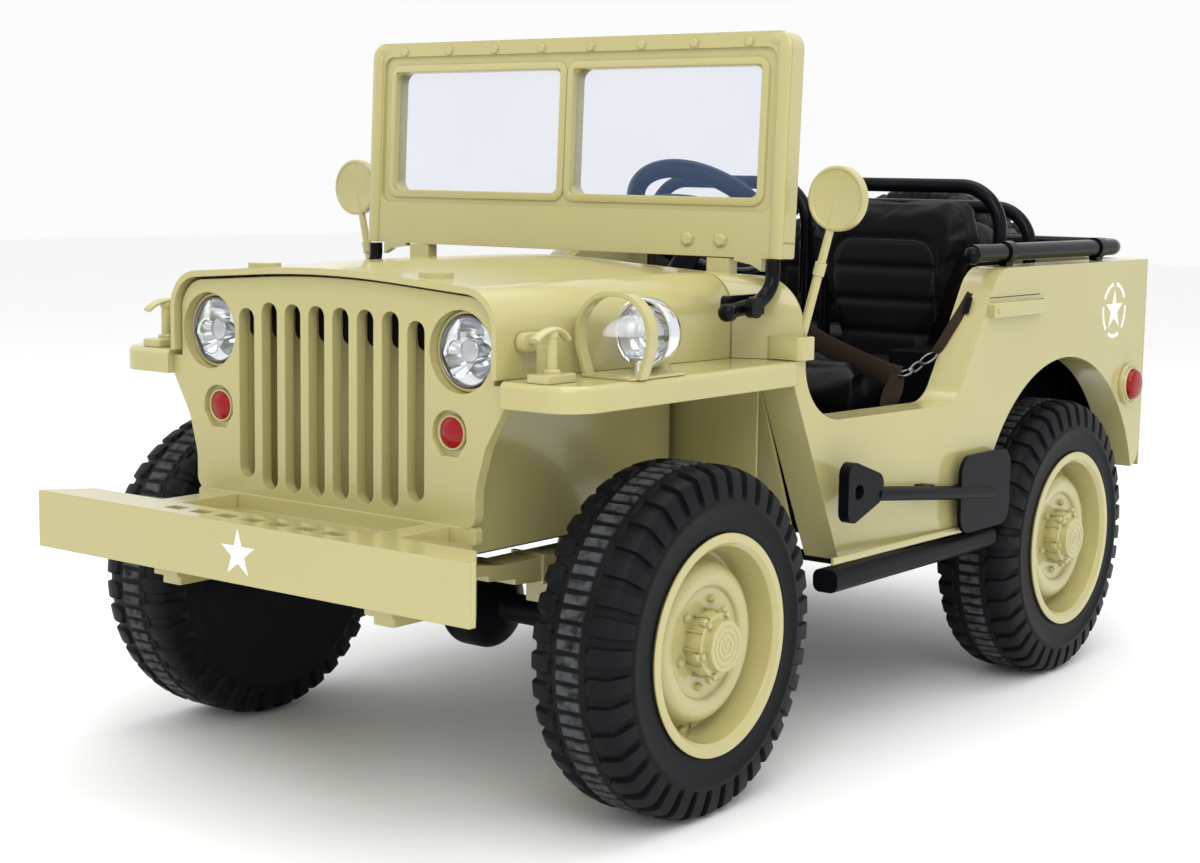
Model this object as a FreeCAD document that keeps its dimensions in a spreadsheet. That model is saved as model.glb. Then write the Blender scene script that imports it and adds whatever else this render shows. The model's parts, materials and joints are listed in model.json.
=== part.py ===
import FreeCAD, Part
import Sketcher
import math
import os

os.makedirs("parts", exist_ok=True)
document = FreeCAD.newDocument("RideOnFourByFour")
sheet = document.addObject("Spreadsheet::Sheet", "Sizes")

# The toy stands on its tyres with the front towards -Y, its left side towards +X and +Z up.
# Places along the car are kept as distances behind the front axle, heights above the floor,
# and widths from the middle of the car.
SIZES = {
    # the whole car
    "bumper_reach": 333, "wheelbase": 878, "tail_reach": 286, "spare_reach": 125,
    # clearances shared by many pieces
    "seat_gap": 0.3, "swing_gap": 3, "bearing_gap": 0.3, "overrun": 12,
    # wheels
    "tyre_radius": 195, "tyre_half_width": 58, "tread_half_width": 52, "crown_half_width": 36,
    "shoulder_drop": 7, "sidewall_groove": 160, "wheel_track": 342, "disc_wall": 8,
    "rim_radius": 123, "rim_lip": 5, "rim_proud": 3, "rim_wall": 5, "dish_depth": 46,
    "ring_radius": 96, "ring_crest_radius": 79, "ring_inner_radius": 61, "ring_proud": 44,
    "flange_proud": 36, "drum_radius": 38, "drum_proud": 58, "cap_radius": 28.5,
    "cap_proud": 67,
    "spindle_radius": 12, "spindle_end_inside": 22,
    # steering gear under the front
    "kingpin_track": 255, "kingpin_radius": 7, "yoke_half_height": 34, "yoke_ear": 8,
    "yoke_radius": 17, "knuckle_radius": 17,
    # axles
    "axle_tube_radius": 17, "diff_radius": 52, "diff_half_width": 44, "diff_offset": 60,
    # chassis
    "rail_track": 165, "rail_half_width": 15, "rail_front_bottom": 288, "rail_front_top": 323.7,
    "rail_rear_bottom": 228, "rail_rear_top": 262, "rail_kick_start": 236,
    "rail_kick_end": 300, "rail_rear_end": 260, "cross_member": 34, "second_cross": 118,
    "third_cross": 226,
    # leaf springs
    "leaf_width": 42, "leaf_thickness": 7, "leaf_half_length": 226,
    "leaf_rise": 16, "clip_thickness": 3,
    # bumper
    "bumper_half_length": 334, "bumper_bottom": 259.5, "bumper_top": 325.2, "bumper_depth": 52,
    "bumper_wall": 7, "bumper_slot_pitch": 41, "bumper_slot_length": 25, "bumper_slot_width": 17,
    "bumper_cap": 12, "bumper_taper": 38, "horn_width": 34, "horn_reach": 86, "horn_height": 34,
    # grille
    "grille_ahead": 194, "grille_wall": 14, "grille_bottom": 324, "grille_foot": 217,
    "grille_neck": 230, "grille_cheek": 257, "cheek_low": 412, "cheek_high": 458,
    "slot_pitch": 37.6, "slot_width": 25, "slot_low": 319, "slot_high": 549, "outer_slot_low": 330,
    "outer_slot_high": 541, "grille_corner": 16,
    "lamp_track": 195, "lamp_height": 512, "lamp_ring_radius": 44, "lamp_radius": 38,
    "lamp_recess": 11, "lamp_depth": 34, "lamp_dome": 6,
    "marker_track": 180, "marker_height": 425, "marker_radius": 16, "marker_rim": 3.5,
    "marker_proud": 7, "marker_pocket": 24, "marker_pocket_drop": 25, "marker_recess": 7,
    "backing_depth": 66, "backing_wall": 3,
    # front fenders
    "fender_half_width": 354, "fender_top": 486, "fender_skirt": 28, "fender_ahead": 203,
    "fender_inner": 224, "fender_corner": 42, "fender_wall": 6,
    "fender_edge": 7,
    # engine bay
    "bay_half_width": 186, "bay_wall": 5, "bay_lip": 28, "bay_bottom": 291,
    # hood
    "hood_back": 196, "hood_front_half": 252, "hood_rear_half": 272, "hood_front_shoulder": 578,
    "hood_rear_shoulder": 584, "hood_front_crown": 595, "hood_rear_crown": 600,
    "hood_corner": 45, "hood_crown_radius": 1500, "hood_wall": 7, "hood_seam": 3,
    "hood_pad_track": 133, "hood_pad_behind": 39, "hood_pad_radius": 19, "hood_pad_proud": 5,
    # cowl and dashboard
    "cowl_back": 236, "cowl_half_width": 349, "cowl_shoulder": 582, "cowl_crown": 586,
    "cowl_corner": 62, "cowl_wall": 8,
    "dash_bottom": 476, "dash_wall": 6,
    # tub
    "tub_front_half": 350, "tub_half_width": 382.5, "flare_end": 298,
    "flare_radius": 1160, "tub_wall": 48,
    "tub_top": 583, "tub_bottom": 239, "tub_front_corner": 312, "door_edge": 236,
    "sill_height": 411, "sill_corner": 72, "pillar_foot": 322, "pillar_head": 215,
    "pillar_foot_radius": 45, "pillar_head_radius": 55, "arch_radius": 256.6,
    "arch_step": 296, "arch_step_height": 300, "tail_bottom": 270, "tail_corner": 28,
    "skirt_start": 215,
    "floor_wall": 9, "toe_board": 330,
    "seat_pan_front": 373, "seat_pan_height": 372, "seat_pan_back": 32,
    "bench_front": 6, "bench_pan_height": 420, "bench_back": 218, "foot_height": 330,
    "floor_half_width": 252, "wheelhouse_top": 470, "wheelhouse_front": 278,
    "tail_wall": 14,
    # windshield
    "screen_half_width": 332, "screen_bottom": 603, "screen_height": 263, "screen_behind": 224,
    "screen_depth": 25, "screen_corner": 20, "screen_lean": 2.4, "window_low": 70,
    "window_high": 225, "window_inner": 10, "window_outer": 291, "window_corner": 14,
    "panel_half_width": 311, "panel_low": 54, "panel_high": 245, "panel_sink": 4,
    "glass_wall": 4, "gusset_inner": 264, "gusset_outer": 303, "gusset_drop": 15,
    "gusset_wall": 9, "rest_inner": 224, "rest_outer": 257,
    "arm_track": 318, "arm_radius": 12, "pivot_behind": 148, "pivot_height": 551,
    "arm_nose": 38, "pivot_radius": 5, "lug_wall": 8, "lug_root": 218, "lug_half_height": 12,
    "knob_radius": 12, "knob_wall": 11,
    # steering wheel
    "ring_track": 142, "ring_behind": 328, "ring_height": 638.6, "ring_centreline": 98,
    "ring_tube": 11.6, "ring_tilt": 44.3, "hub_radius": 24, "hub_wall": 26, "spoke_radius": 5,
    "column_radius": 15, "column_length": 145,
    # seats
    "seat_track": 159, "seat_half_width": 92, "cushion_front": 366, "cushion_top": 79,
    "cushion_back": 136, "cushion_corner": 22, "backrest_front": 130, "backrest_wall": 58,
    "backrest_top": 678, "backrest_half_width": 135, "backrest_foot_half": 86,
    "backrest_corner": 60,
    "seat_frame_half": 142, "seat_frame_behind": 56, "seat_frame_top": 699,
    "seat_tube": 10, "seat_bend": 62,
    "bench_half_width": 205, "bench_cushion_front": 12, "bench_cushion_top": 50,
    "bench_cushion_back": 124, "bench_backrest_front": 130, "bench_backrest_wall": 52,
    "bench_backrest_top": 646, "bench_frame_half": 225, "bench_frame_behind": 197,
    "bench_frame_top": 666, "bench_bend": 60,
    # rear rail
    "rail_bar_track": 358, "rail_bar_height": 602, "rail_bar_radius": 12, "rail_bar_front": 248,
    "rail_bar_back": 230, "rail_bar_bend": 40, "rail_clamp_radius": 15, "rail_clamp_length": 20,
    "rail_clamp_front": 158, "rail_clamp_rear": 132,
    # mirrors
    "mirror_reach": 423, "mirror_radius": 38, "mirror_wall": 9, "mirror_behind": 244,
    "mirror_height": 675, "mirror_box_front": 216, "mirror_box_back": 248,
    "mirror_box_bottom": 487, "mirror_box_top": 514, "mirror_box_outer": 368,
    "mirror_arm_foot": 356, "mirror_arm_radius": 4.5,
    # spotlight
    "spot_track": 314, "spot_behind": -14, "spot_height": 530, "spot_radius": 39,
    "spot_depth": 44, "spot_post": 9,
    "hoop_behind": -92, "hoop_wall": 5, "hoop_depth": 15, "hoop_track": 316, "hoop_half_width": 49.5, "hoop_foot": 38,
    "hoop_top": 577,
    # hood latches
    "latch_behind": -170, "latch_track": 284, "latch_radius": 5, "latch_handle": 54,
    "latch_top": 531, "latch_foot": 13,
    # side steps
    "step_front": 262, "step_back": 205, "step_low": 208, "step_high": 236, "step_outer": 388,
    "step_width": 34, "step_corner": 10, "step_bracket_width": 26, "step_bracket_inset": 70,
    # shovel on the left side
    "shovel_clear": 3, "grip_front": 263, "grip_back": 345, "grip_low": 287, "grip_high": 371,
    "grip_bar": 15, "grip_wall": 14, "shaft_radius": 9, "shaft_front": 338, "shaft_back": 640,
    "shaft_front_height": 321, "shaft_back_height": 287, "blade_front": 550, "blade_back": 688,
    "blade_half_width": 51, "blade_wall": 5, "blade_corner": 24, "blade_height": 293,
    "clip_front": 470, "clip_rear": 560, "clip_reach": 18, "clip_width": 16,
    # side lamps
    "side_lamp_behind": 218, "side_lamp_height": 398, "side_lamp_ring": 31,
    "side_lamp_radius": 22, "side_lamp_base": 8, "side_lamp_proud": 19,
    # spare wheel
    "spare_track": -30, "spare_height": 490, "spare_gap": 6, "carrier_radius": 36,
    "carrier_nut_wall": 12,
    # battery
    "battery_half_width": 72, "battery_front": 318, "battery_back": 162, "battery_height": 84,
}

for row, (name, number) in enumerate(SIZES.items(), start=1):
    sheet.set("A%d" % row, str(number))
    sheet.setAlias("A%d" % row, name)
document.recompute()


class Length:
    """A size, or a sum of sizes: its value and the sheet formula that gives it."""

    def __init__(self, value, text):
        self.value = value
        self.text = text

    def joined(self, sign, other, value, swapped=False):
        pair = [self.text, formula(other)]
        if swapped:
            pair.reverse()
        return Length(value, "(%s %s %s)" % (pair[0], sign, pair[1]))

    def __add__(self, other):
        return self.joined("+", other, self.value + amount(other))

    def __radd__(self, other):
        return self.joined("+", other, self.value + amount(other), swapped=True)

    def __sub__(self, other):
        return self.joined("-", other, self.value - amount(other))

    def __rsub__(self, other):
        return self.joined("-", other, amount(other) - self.value, swapped=True)

    def __mul__(self, other):
        return self.joined("*", other, self.value * amount(other))

    def __rmul__(self, other):
        return self.joined("*", other, self.value * amount(other), swapped=True)

    def __truediv__(self, other):
        return self.joined("/", other, self.value / amount(other))

    def __neg__(self):
        return Length(-self.value, "(-%s)" % self.text)


def amount(size):
    return getattr(size, "value", size)


def formula(size):
    return getattr(size, "text", repr(size))


class Sheet:
    """Reads each size by its name."""

    def __getattr__(self, name):
        return Length(float(SIZES[name]), "Sizes." + name)


S = Sheet()
FRONT = -(S.bumper_reach + S.wheelbase + S.tail_reach + S.spare_reach) / 2
FRONT_AXLE = FRONT + S.bumper_reach
REAR_AXLE = FRONT_AXLE + S.wheelbase
TAIL = REAR_AXLE + S.tail_reach
X_AXIS = FreeCAD.Vector(1, 0, 0)
Y_AXIS = FreeCAD.Vector(0, 1, 0)
Z_AXIS = FreeCAD.Vector(0, 0, 1)
NODES = {}


def behind(size):
    """The place that lies this far behind the front axle."""
    return FRONT_AXLE + size


def ahead(size):
    """The place that lies this far ahead of the rear axle."""
    return REAR_AXLE - size


def past(size):
    """The place that lies this far past the rear axle."""
    return REAR_AXLE + size


def bind(thing, field, size):
    thing.setExpression(field, formula(size) if isinstance(size, Length) else repr(float(size)))


def node(name, thing):
    """Makes a piece a sub-part: its name is the name of its file."""
    thing.Label = name
    NODES[name] = thing
    return thing


def new_body(name):
    return document.addObject("PartDesign::Body", name)


def plane(body, role):
    return [feature for feature in body.Origin.OriginFeatures if feature.Role == role][0]


def rounded_loop(corners, closed=True):
    """Lines and arcs of an outline, with the touching ends of each pair that meets."""
    points = [FreeCAD.Vector(amount(c[0]), amount(c[1]), 0) for c in corners]
    radii = [amount(c[2]) if len(c) > 2 else 0 for c in corners]
    count = len(points)
    ends = []
    for i in range(count):
        if radii[i] > 0:
            before = (points[i - 1] - points[i]).normalize()
            after = (points[(i + 1) % count] - points[i]).normalize()
            half = before.getAngle(after) / 2
            reach = radii[i] / math.tan(half)
            centre = points[i] + (before + after).normalize() * (radii[i] / math.sin(half))
            turns_left = after.cross(before).z > 0
            ends.append((points[i] + before * reach, points[i] + after * reach, centre, turns_left))
        else:
            ends.append((points[i], points[i], None, True))
    lines = count if closed else count - 1
    pieces = [Part.LineSegment(ends[i][1], ends[(i + 1) % count][0]) for i in range(lines)]
    arcs = {}
    for i in range(count):
        if ends[i][2] is not None:
            first, last, centre, turns_left = ends[i]
            middle = centre + (points[i] - centre).normalize() * radii[i]
            arcs[i] = len(pieces)
            pieces.append(Part.Arc(first, middle, last) if turns_left
                          else Part.Arc(last, middle, first))
    return points, ends, pieces, arcs


def add_loop(sketch, corners, closed=True):
    """Draws one outline of (across, up[, corner radius]) and ties it to the sheet."""
    points, ends, pieces, arcs = rounded_loop(corners, closed)
    first_piece = sketch.GeometryCount
    sketch.addGeometry(pieces, False)
    rules = []
    ties = []
    count = len(points)
    for i in range(count):
        line_before = first_piece + (i - 1) % count
        line_after = first_piece + i
        radius_given = i in arcs
        if radius_given:
            arc = first_piece + arcs[i]
            near, far = (1, 2) if ends[i][3] else (2, 1)
            rules.append(Sketcher.Constraint("Tangent", line_before, 2, arc, near))
            rules.append(Sketcher.Constraint("Tangent", arc, far, line_after, 1))
            rules.append(Sketcher.Constraint("Radius", arc, amount(corners[i][2])))
            ties.append((len(rules) - 1, corners[i][2]))
            mark = sketch.addGeometry(Part.Point(points[i]), True)
            rules.append(Sketcher.Constraint("PointOnObject", mark, 1, line_before))
            rules.append(Sketcher.Constraint("PointOnObject", mark, 1, line_after))
            held = (mark, 1)
        elif closed or 0 < i < count - 1:
            rules.append(Sketcher.Constraint("Coincident", line_before, 2, line_after, 1))
            held = (line_after, 1)
        else:
            held = (line_after, 1) if i == 0 else (line_before, 2)
        rules.append(Sketcher.Constraint("DistanceX", -1, 1, held[0], held[1], points[i].x))
        ties.append((len(rules) - 1, corners[i][0]))
        rules.append(Sketcher.Constraint("DistanceY", -1, 1, held[0], held[1], points[i].y))
        ties.append((len(rules) - 1, corners[i][1]))
    add_rules(sketch, rules, ties)


def add_circle(sketch, across, up, radius):
    centre = FreeCAD.Vector(amount(across), amount(up), 0)
    ring = sketch.addGeometry(Part.Circle(centre, Z_AXIS, amount(radius)), False)
    rules = [
        Sketcher.Constraint("DistanceX", -1, 1, ring, 3, centre.x),
        Sketcher.Constraint("DistanceY", -1, 1, ring, 3, centre.y),
        Sketcher.Constraint("Radius", ring, amount(radius)),
    ]
    add_rules(sketch, rules, [(0, across), (1, up), (2, radius)])


def add_rules(sketch, rules, ties):
    start = sketch.ConstraintCount
    sketch.addConstraint(rules)
    for index, size in ties:
        if isinstance(size, Length):
            bind(sketch, "Constraints[%d]" % (start + index), size)


def draw(body, name, role, loops, place=0):
    """A sketch on an origin plane of the body, moved along that plane's axis to its place.

    XZ outlines are (X, Z), YZ outlines (Y, Z) and XY outlines (X, Y). A loop is a list of
    corners, or one (across, up, radius) for a circle."""
    sketch = body.newObject("Sketcher::SketchObject", name)
    sketch.AttachmentSupport = (plane(body, role), [""])
    sketch.MapMode = "FlatFace"
    if isinstance(place, Length):
        bind(sketch, "AttachmentOffset.Base.z", -place if role == "XZ_Plane" else place)
    for loop in loops:
        if isinstance(loop, tuple):
            add_circle(sketch, *loop)
        else:
            add_loop(sketch, loop)
    return sketch


def pad(body, name, role, loops, start, end):
    """Adds the outlines as a solid from one place to a further one along the plane's axis."""
    feature = body.newObject("PartDesign::Pad", name)
    feature.Profile = draw(body, name + "_outline", role, loops, start)
    bind(feature, "Length", end - start)
    feature.Reversed = role == "XZ_Plane"
    return feature


def cut(body, name, role, loops, start, end):
    """Takes the outlines away from one place to a further one along the plane's axis."""
    feature = body.newObject("PartDesign::Pocket", name)
    feature.Profile = draw(body, name + "_outline", role, loops, start)
    bind(feature, "Length", end - start)
    feature.Reversed = role != "XZ_Plane"
    return feature


def turn(body, name, role, corners, axis="H_Axis", cutting=False):
    """Turns an outline round the sketch's own axis."""
    kind = "PartDesign::Groove" if cutting else "PartDesign::Revolution"
    feature = body.newObject(kind, name)
    sketch = draw(body, name + "_outline", role, [corners])
    feature.Profile = sketch
    feature.ReferenceAxis = (sketch, [axis])
    feature.Angle = 360
    return feature


def loft(body, name, role, sections, cutting=False):
    """Joins outlines of the same count of corners, each at its own place."""
    kind = "PartDesign::SubtractiveLoft" if cutting else "PartDesign::AdditiveLoft"
    sketches = [draw(body, "%s_section" % name, role, [loop], place) for loop, place in sections]
    feature = body.newObject(kind, name)
    feature.Profile = sketches[0]
    feature.Sections = sketches[1:]
    feature.Ruled = True
    return feature


def round_edges(body, name, radius, chosen):
    """Rounds the edges of the body's last feature for which chosen(edge) is true."""
    document.recompute()
    last = body.Tip
    picked = ["Edge%d" % (i + 1) for i, edge in enumerate(last.Shape.Edges) if chosen(edge)]
    feature = body.newObject("PartDesign::Fillet", name)
    feature.Base = (last, picked)
    bind(feature, "Radius", radius)
    return feature


def box(name, low_x, high_x, low_y, high_y, low_z, high_z):
    block = document.addObject("Part::Box", name)
    bind(block, "Length", high_x - low_x)
    bind(block, "Width", high_y - low_y)
    bind(block, "Height", high_z - low_z)
    return placed(block, low_x, low_y, low_z)


def rod(name, radius, length, across, along, up, axis=Z_AXIS):
    """A round bar that starts at the given place and runs along the axis."""
    bar = document.addObject("Part::Cylinder", name)
    bind(bar, "Radius", radius)
    bind(bar, "Height", length)
    return placed(bar, across, along, up, FreeCAD.Rotation(Z_AXIS, axis))


def placed(thing, across, along, up, rotation=FreeCAD.Rotation()):
    thing.Placement = FreeCAD.Placement(FreeCAD.Vector(), rotation)
    bind(thing, "Placement.Base.x", across)
    bind(thing, "Placement.Base.y", along)
    bind(thing, "Placement.Base.z", up)
    return thing


def tube(name, role, corners, place, radius, start_axis):
    """A bent round bar along an open outline on one plane."""
    route = document.addObject("Sketcher::SketchObject", name + "_route")
    add_loop(route, corners, closed=False)
    turns = {
        "XY_Plane": FreeCAD.Rotation(),
        "XZ_Plane": FreeCAD.Rotation(X_AXIS, 90),
        "YZ_Plane": FreeCAD.Rotation(FreeCAD.Vector(1, 1, 1), 120),
    }
    away = {"XY_Plane": (0, 0, place), "XZ_Plane": (0, place, 0), "YZ_Plane": (place, 0, 0)}
    placed(route, *away[role], turns[role])
    ring = document.addObject("Part::Circle", name + "_section")
    bind(ring, "Radius", radius)
    first, second = corners[0][0], corners[0][1]
    spots = {
        "XY_Plane": (first, second, place),
        "XZ_Plane": (first, place, second),
        "YZ_Plane": (place, first, second),
    }
    placed(ring, *spots[role], FreeCAD.Rotation(Z_AXIS, start_axis))
    sweep = document.addObject("Part::Sweep", name)
    document.recompute()
    sweep.Sections = [ring]
    sweep.Spine = (route, ["Edge%d" % (i + 1) for i in range(len(route.Shape.Edges))])
    sweep.Solid = True
    return sweep


def mirror(name, source):
    """The same piece on the other side of the car."""
    copy = document.addObject("Part::Mirroring", name)
    copy.Source = source
    copy.Normal = X_AXIS
    return copy


def group(name, members):
    """Pieces of one sub-part that stay separate solids."""
    together = document.addObject("Part::Compound", name)
    together.Links = members
    return together


def fused(name, members):
    whole = document.addObject("Part::MultiFuse", name)
    whole.Shapes = members
    whole.Refine = True
    return whole


def shared(name, first, second):
    """What two solids have in common."""
    both = document.addObject("Part::MultiCommon", name)
    both.Shapes = [first, second]
    return both


def without(name, base, tool):
    rest = document.addObject("Part::Cut", name)
    rest.Base = base
    rest.Tool = tool
    return rest


def rectangle(left, right, low, high, radius=None):
    corners = [(left, low), (right, low), (right, high), (left, high)]
    if radius is None:
        return corners
    return [corner + (radius,) for corner in corners]


def both_sides(name, piece):
    return group(name, [piece, mirror(name + "_mirrored", piece)])


# Wheels

def make_tyre():
    """The tyre moulding with the closed disc on its inner side, about the X axis."""
    half = S.tyre_half_width
    bead = S.rim_radius - S.rim_lip
    disc = half - S.disc_wall - S.rim_proud
    crown = S.tyre_radius
    shoulder = S.tyre_radius - S.shoulder_drop
    body = new_body("tyre_moulding")
    turn(body, "tyre_round", "XZ_Plane", [
        (-disc - S.disc_wall / 2, S.spindle_radius + S.bearing_gap),
        (-disc + S.disc_wall / 2, S.spindle_radius + S.bearing_gap),
        (-disc + S.disc_wall / 2, bead - S.rim_wall - S.disc_wall, S.disc_wall),
        (half - S.disc_wall, bead, S.rim_lip),
        (half - S.rim_lip / 2, bead + S.rim_lip, S.rim_lip / 2),
        (half, S.sidewall_groove, S.shoulder_drop * 3),
        (S.tread_half_width, shoulder, S.shoulder_drop / 2),
        (S.crown_half_width, crown, S.tyre_half_width / 2),
        (-S.crown_half_width, crown, S.tyre_half_width / 2),
        (-S.tread_half_width, shoulder, S.shoulder_drop / 2),
        (-half, S.sidewall_groove, S.shoulder_drop * 3),
        (-half + S.rim_lip / 2, bead, S.rim_lip),
    ])
    return body


def make_rim(with_drum):
    """The pressed rim with its deep dish and raised ring, outer side towards +X."""
    half = S.tyre_half_width
    lip = half + S.rim_proud
    wall = S.rim_wall
    bead = S.rim_radius - S.rim_lip - S.seat_gap
    body = new_body("rim_pressing")
    centre = 0 if with_drum else S.spindle_radius + S.bearing_gap
    flange = S.flange_proud
    corners = [
        (flange - wall, centre),
        (flange - wall, S.ring_inner_radius + wall),
        (S.ring_proud - wall, S.ring_crest_radius, wall),
        (lip - S.dish_depth - wall, S.ring_radius - wall),
        (lip - S.dish_depth - wall, bead - S.disc_wall * 2 + wall, wall),
        (half - S.disc_wall, bead - S.seat_gap, wall / 2),
        (half + S.seat_gap, bead, S.rim_proud / 3),
        (half + S.seat_gap, S.rim_radius, S.rim_proud / 3),
        (lip, S.rim_radius, S.rim_proud / 3),
        (lip, bead - S.rim_lip),
        (lip - S.rim_lip, bead - S.rim_lip * 2, S.rim_lip / 2),
        (lip - S.dish_depth, bead - S.disc_wall * 2, wall / 2),
        (lip - S.dish_depth, S.ring_radius, wall / 3),
        (S.ring_proud, S.ring_crest_radius + wall, wall * 3),
        (S.ring_proud - wall / 2, S.ring_inner_radius + wall / 2, wall),
        (flange, S.ring_inner_radius, wall / 3),
    ]
    if with_drum:
        corners += [
            (flange, S.drum_radius - wall / 2),
            ((flange + S.drum_proud) / 2, S.drum_radius, wall * 3),
            (S.drum_proud, S.drum_radius - wall / 2, wall / 3),
            (S.drum_proud, S.cap_radius),
            (S.cap_proud, S.cap_radius, wall / 3),
            (S.cap_proud, 0),
        ]
    else:
        corners += [(flange, centre)]
    turn(body, "rim_round", "XZ_Plane", corners)
    return body


def make_wheels():
    tyre = make_tyre()
    rim = make_rim(with_drum=True)
    quarter = FreeCAD.Rotation(Z_AXIS, 180)
    for end, along in (("front", FRONT_AXLE), ("rear", REAR_AXLE)):
        for side, across, rotation in (
            ("left", S.wheel_track, FreeCAD.Rotation()),
            ("right", -S.wheel_track, quarter),
        ):
            for kind, source in (("tyre", tyre), ("rim", rim)):
                name = "%s_%s_%s" % (kind, end, side)
                node(name, placed(group(name, [source]), across, along, S.tyre_radius, rotation))
    spare_y = TAIL + S.spare_gap + S.tyre_half_width
    outward = FreeCAD.Rotation(Z_AXIS, 90)
    plain_rim = make_rim(with_drum=False)
    for name, source in (("spare_tyre", tyre), ("spare_rim", plain_rim)):
        spare = placed(group(name, [source]), S.spare_track, spare_y, S.spare_height, outward)
        node(name, spare)


# Axles and steering

def make_axles():
    centre_z = S.tyre_radius
    fork_in = S.kingpin_track - S.yoke_radius
    front = new_body("front_axle_body")
    turn(front, "front_tube", "XZ_Plane", [
        (-fork_in, 0),
        (-fork_in, S.axle_tube_radius),
        (S.diff_offset - S.diff_half_width, S.axle_tube_radius, S.axle_tube_radius / 2),
        (S.diff_offset - S.diff_half_width / 2, S.diff_radius, S.diff_radius / 3),
        (S.diff_offset + S.diff_half_width / 2, S.diff_radius, S.diff_radius / 3),
        (S.diff_offset + S.diff_half_width, S.axle_tube_radius, S.axle_tube_radius / 2),
        (fork_in, S.axle_tube_radius),
        (fork_in, 0),
    ])
    for side, sign in (("left", 1), ("right", -1)):
        ends = [sign * (fork_in - S.yoke_radius), sign * (S.kingpin_track + S.yoke_radius)]
        ends.sort(key=amount)
        pad(front, "fork_" + side, "XZ_Plane", [
            rectangle(*ends, -S.yoke_half_height, S.yoke_half_height, S.yoke_ear / 2),
        ], -S.yoke_radius, S.yoke_radius)
        gap = [sign * fork_in, sign * (S.kingpin_track + S.yoke_radius + S.overrun)]
        gap.sort(key=amount)
        height = S.yoke_half_height - S.yoke_ear
        cut(front, "fork_gap_" + side, "XZ_Plane", [
            rectangle(*gap, -height, height),
        ], -S.yoke_radius - S.overrun, S.yoke_radius + S.overrun)
        cut(front, "kingpin_bore_" + side, "XY_Plane", [
            (sign * S.kingpin_track, 0, S.kingpin_radius + S.bearing_gap),
        ], -S.yoke_half_height - S.overrun, S.yoke_half_height + S.overrun)
    node("front_axle", placed(front, 0, FRONT_AXLE, centre_z))

    end = S.wheel_track + S.spindle_end_inside
    collar = S.wheel_track - S.tyre_half_width - S.seat_gap * 3
    rear = new_body("rear_axle_body")
    turn(rear, "rear_tube", "XZ_Plane", [
        (-end, 0),
        (-end, S.spindle_radius),
        (-collar, S.spindle_radius),
        (-collar, S.axle_tube_radius),
        (-S.diff_half_width, S.axle_tube_radius, S.axle_tube_radius / 2),
        (-S.diff_half_width / 2, S.diff_radius, S.diff_radius / 3),
        (S.diff_half_width / 2, S.diff_radius, S.diff_radius / 3),
        (S.diff_half_width, S.axle_tube_radius, S.axle_tube_radius / 2),
        (collar, S.axle_tube_radius),
        (collar, S.spindle_radius),
        (end, S.spindle_radius),
        (end, 0),
    ])
    for side, sign in (("left", 1), ("right", -1)):
        ends = [sign * (S.rail_track - S.rail_half_width),
                sign * (S.rail_track + S.rail_half_width)]
        ends.sort(key=amount)
        pad(rear, "axle_seat_" + side, "XZ_Plane", [rectangle(
            *ends, 0, S.rail_rear_bottom - S.seat_gap - centre_z)],
            -S.axle_tube_radius * 0.9, S.axle_tube_radius * 0.9)
    node("rear_axle", placed(rear, 0, REAR_AXLE, centre_z))


def make_knuckles():
    """The block that turns on the kingpin and carries the front wheel's spindle."""
    height = S.yoke_half_height - S.yoke_ear - S.bearing_gap
    body = new_body("knuckle_body")
    pad(body, "knuckle_block", "XY_Plane", [(0, 0, S.knuckle_radius - S.bearing_gap * 4)],
        -height, height)
    pad(body, "knuckle_pin", "XY_Plane", [(0, 0, S.kingpin_radius)],
        -S.yoke_half_height, S.yoke_half_height)
    reach = S.wheel_track - S.kingpin_track
    pad(body, "knuckle_boss", "YZ_Plane", [(0, 0, S.knuckle_radius * 3 / 4)],
        S.kingpin_radius, reach - S.tyre_half_width - S.seat_gap * 3)
    pad(body, "knuckle_spindle", "YZ_Plane", [(0, 0, S.spindle_radius)],
        S.kingpin_radius, reach + S.spindle_end_inside)
    left = placed(group("knuckle_left", [body]), S.kingpin_track, FRONT_AXLE, S.tyre_radius)
    turned = FreeCAD.Rotation(Z_AXIS, 180)
    right = placed(group("knuckle_right", [body]),
                   -S.kingpin_track, FRONT_AXLE, S.tyre_radius, turned)
    node("knuckle_left", left)
    node("knuckle_right", right)


# Chassis

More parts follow.
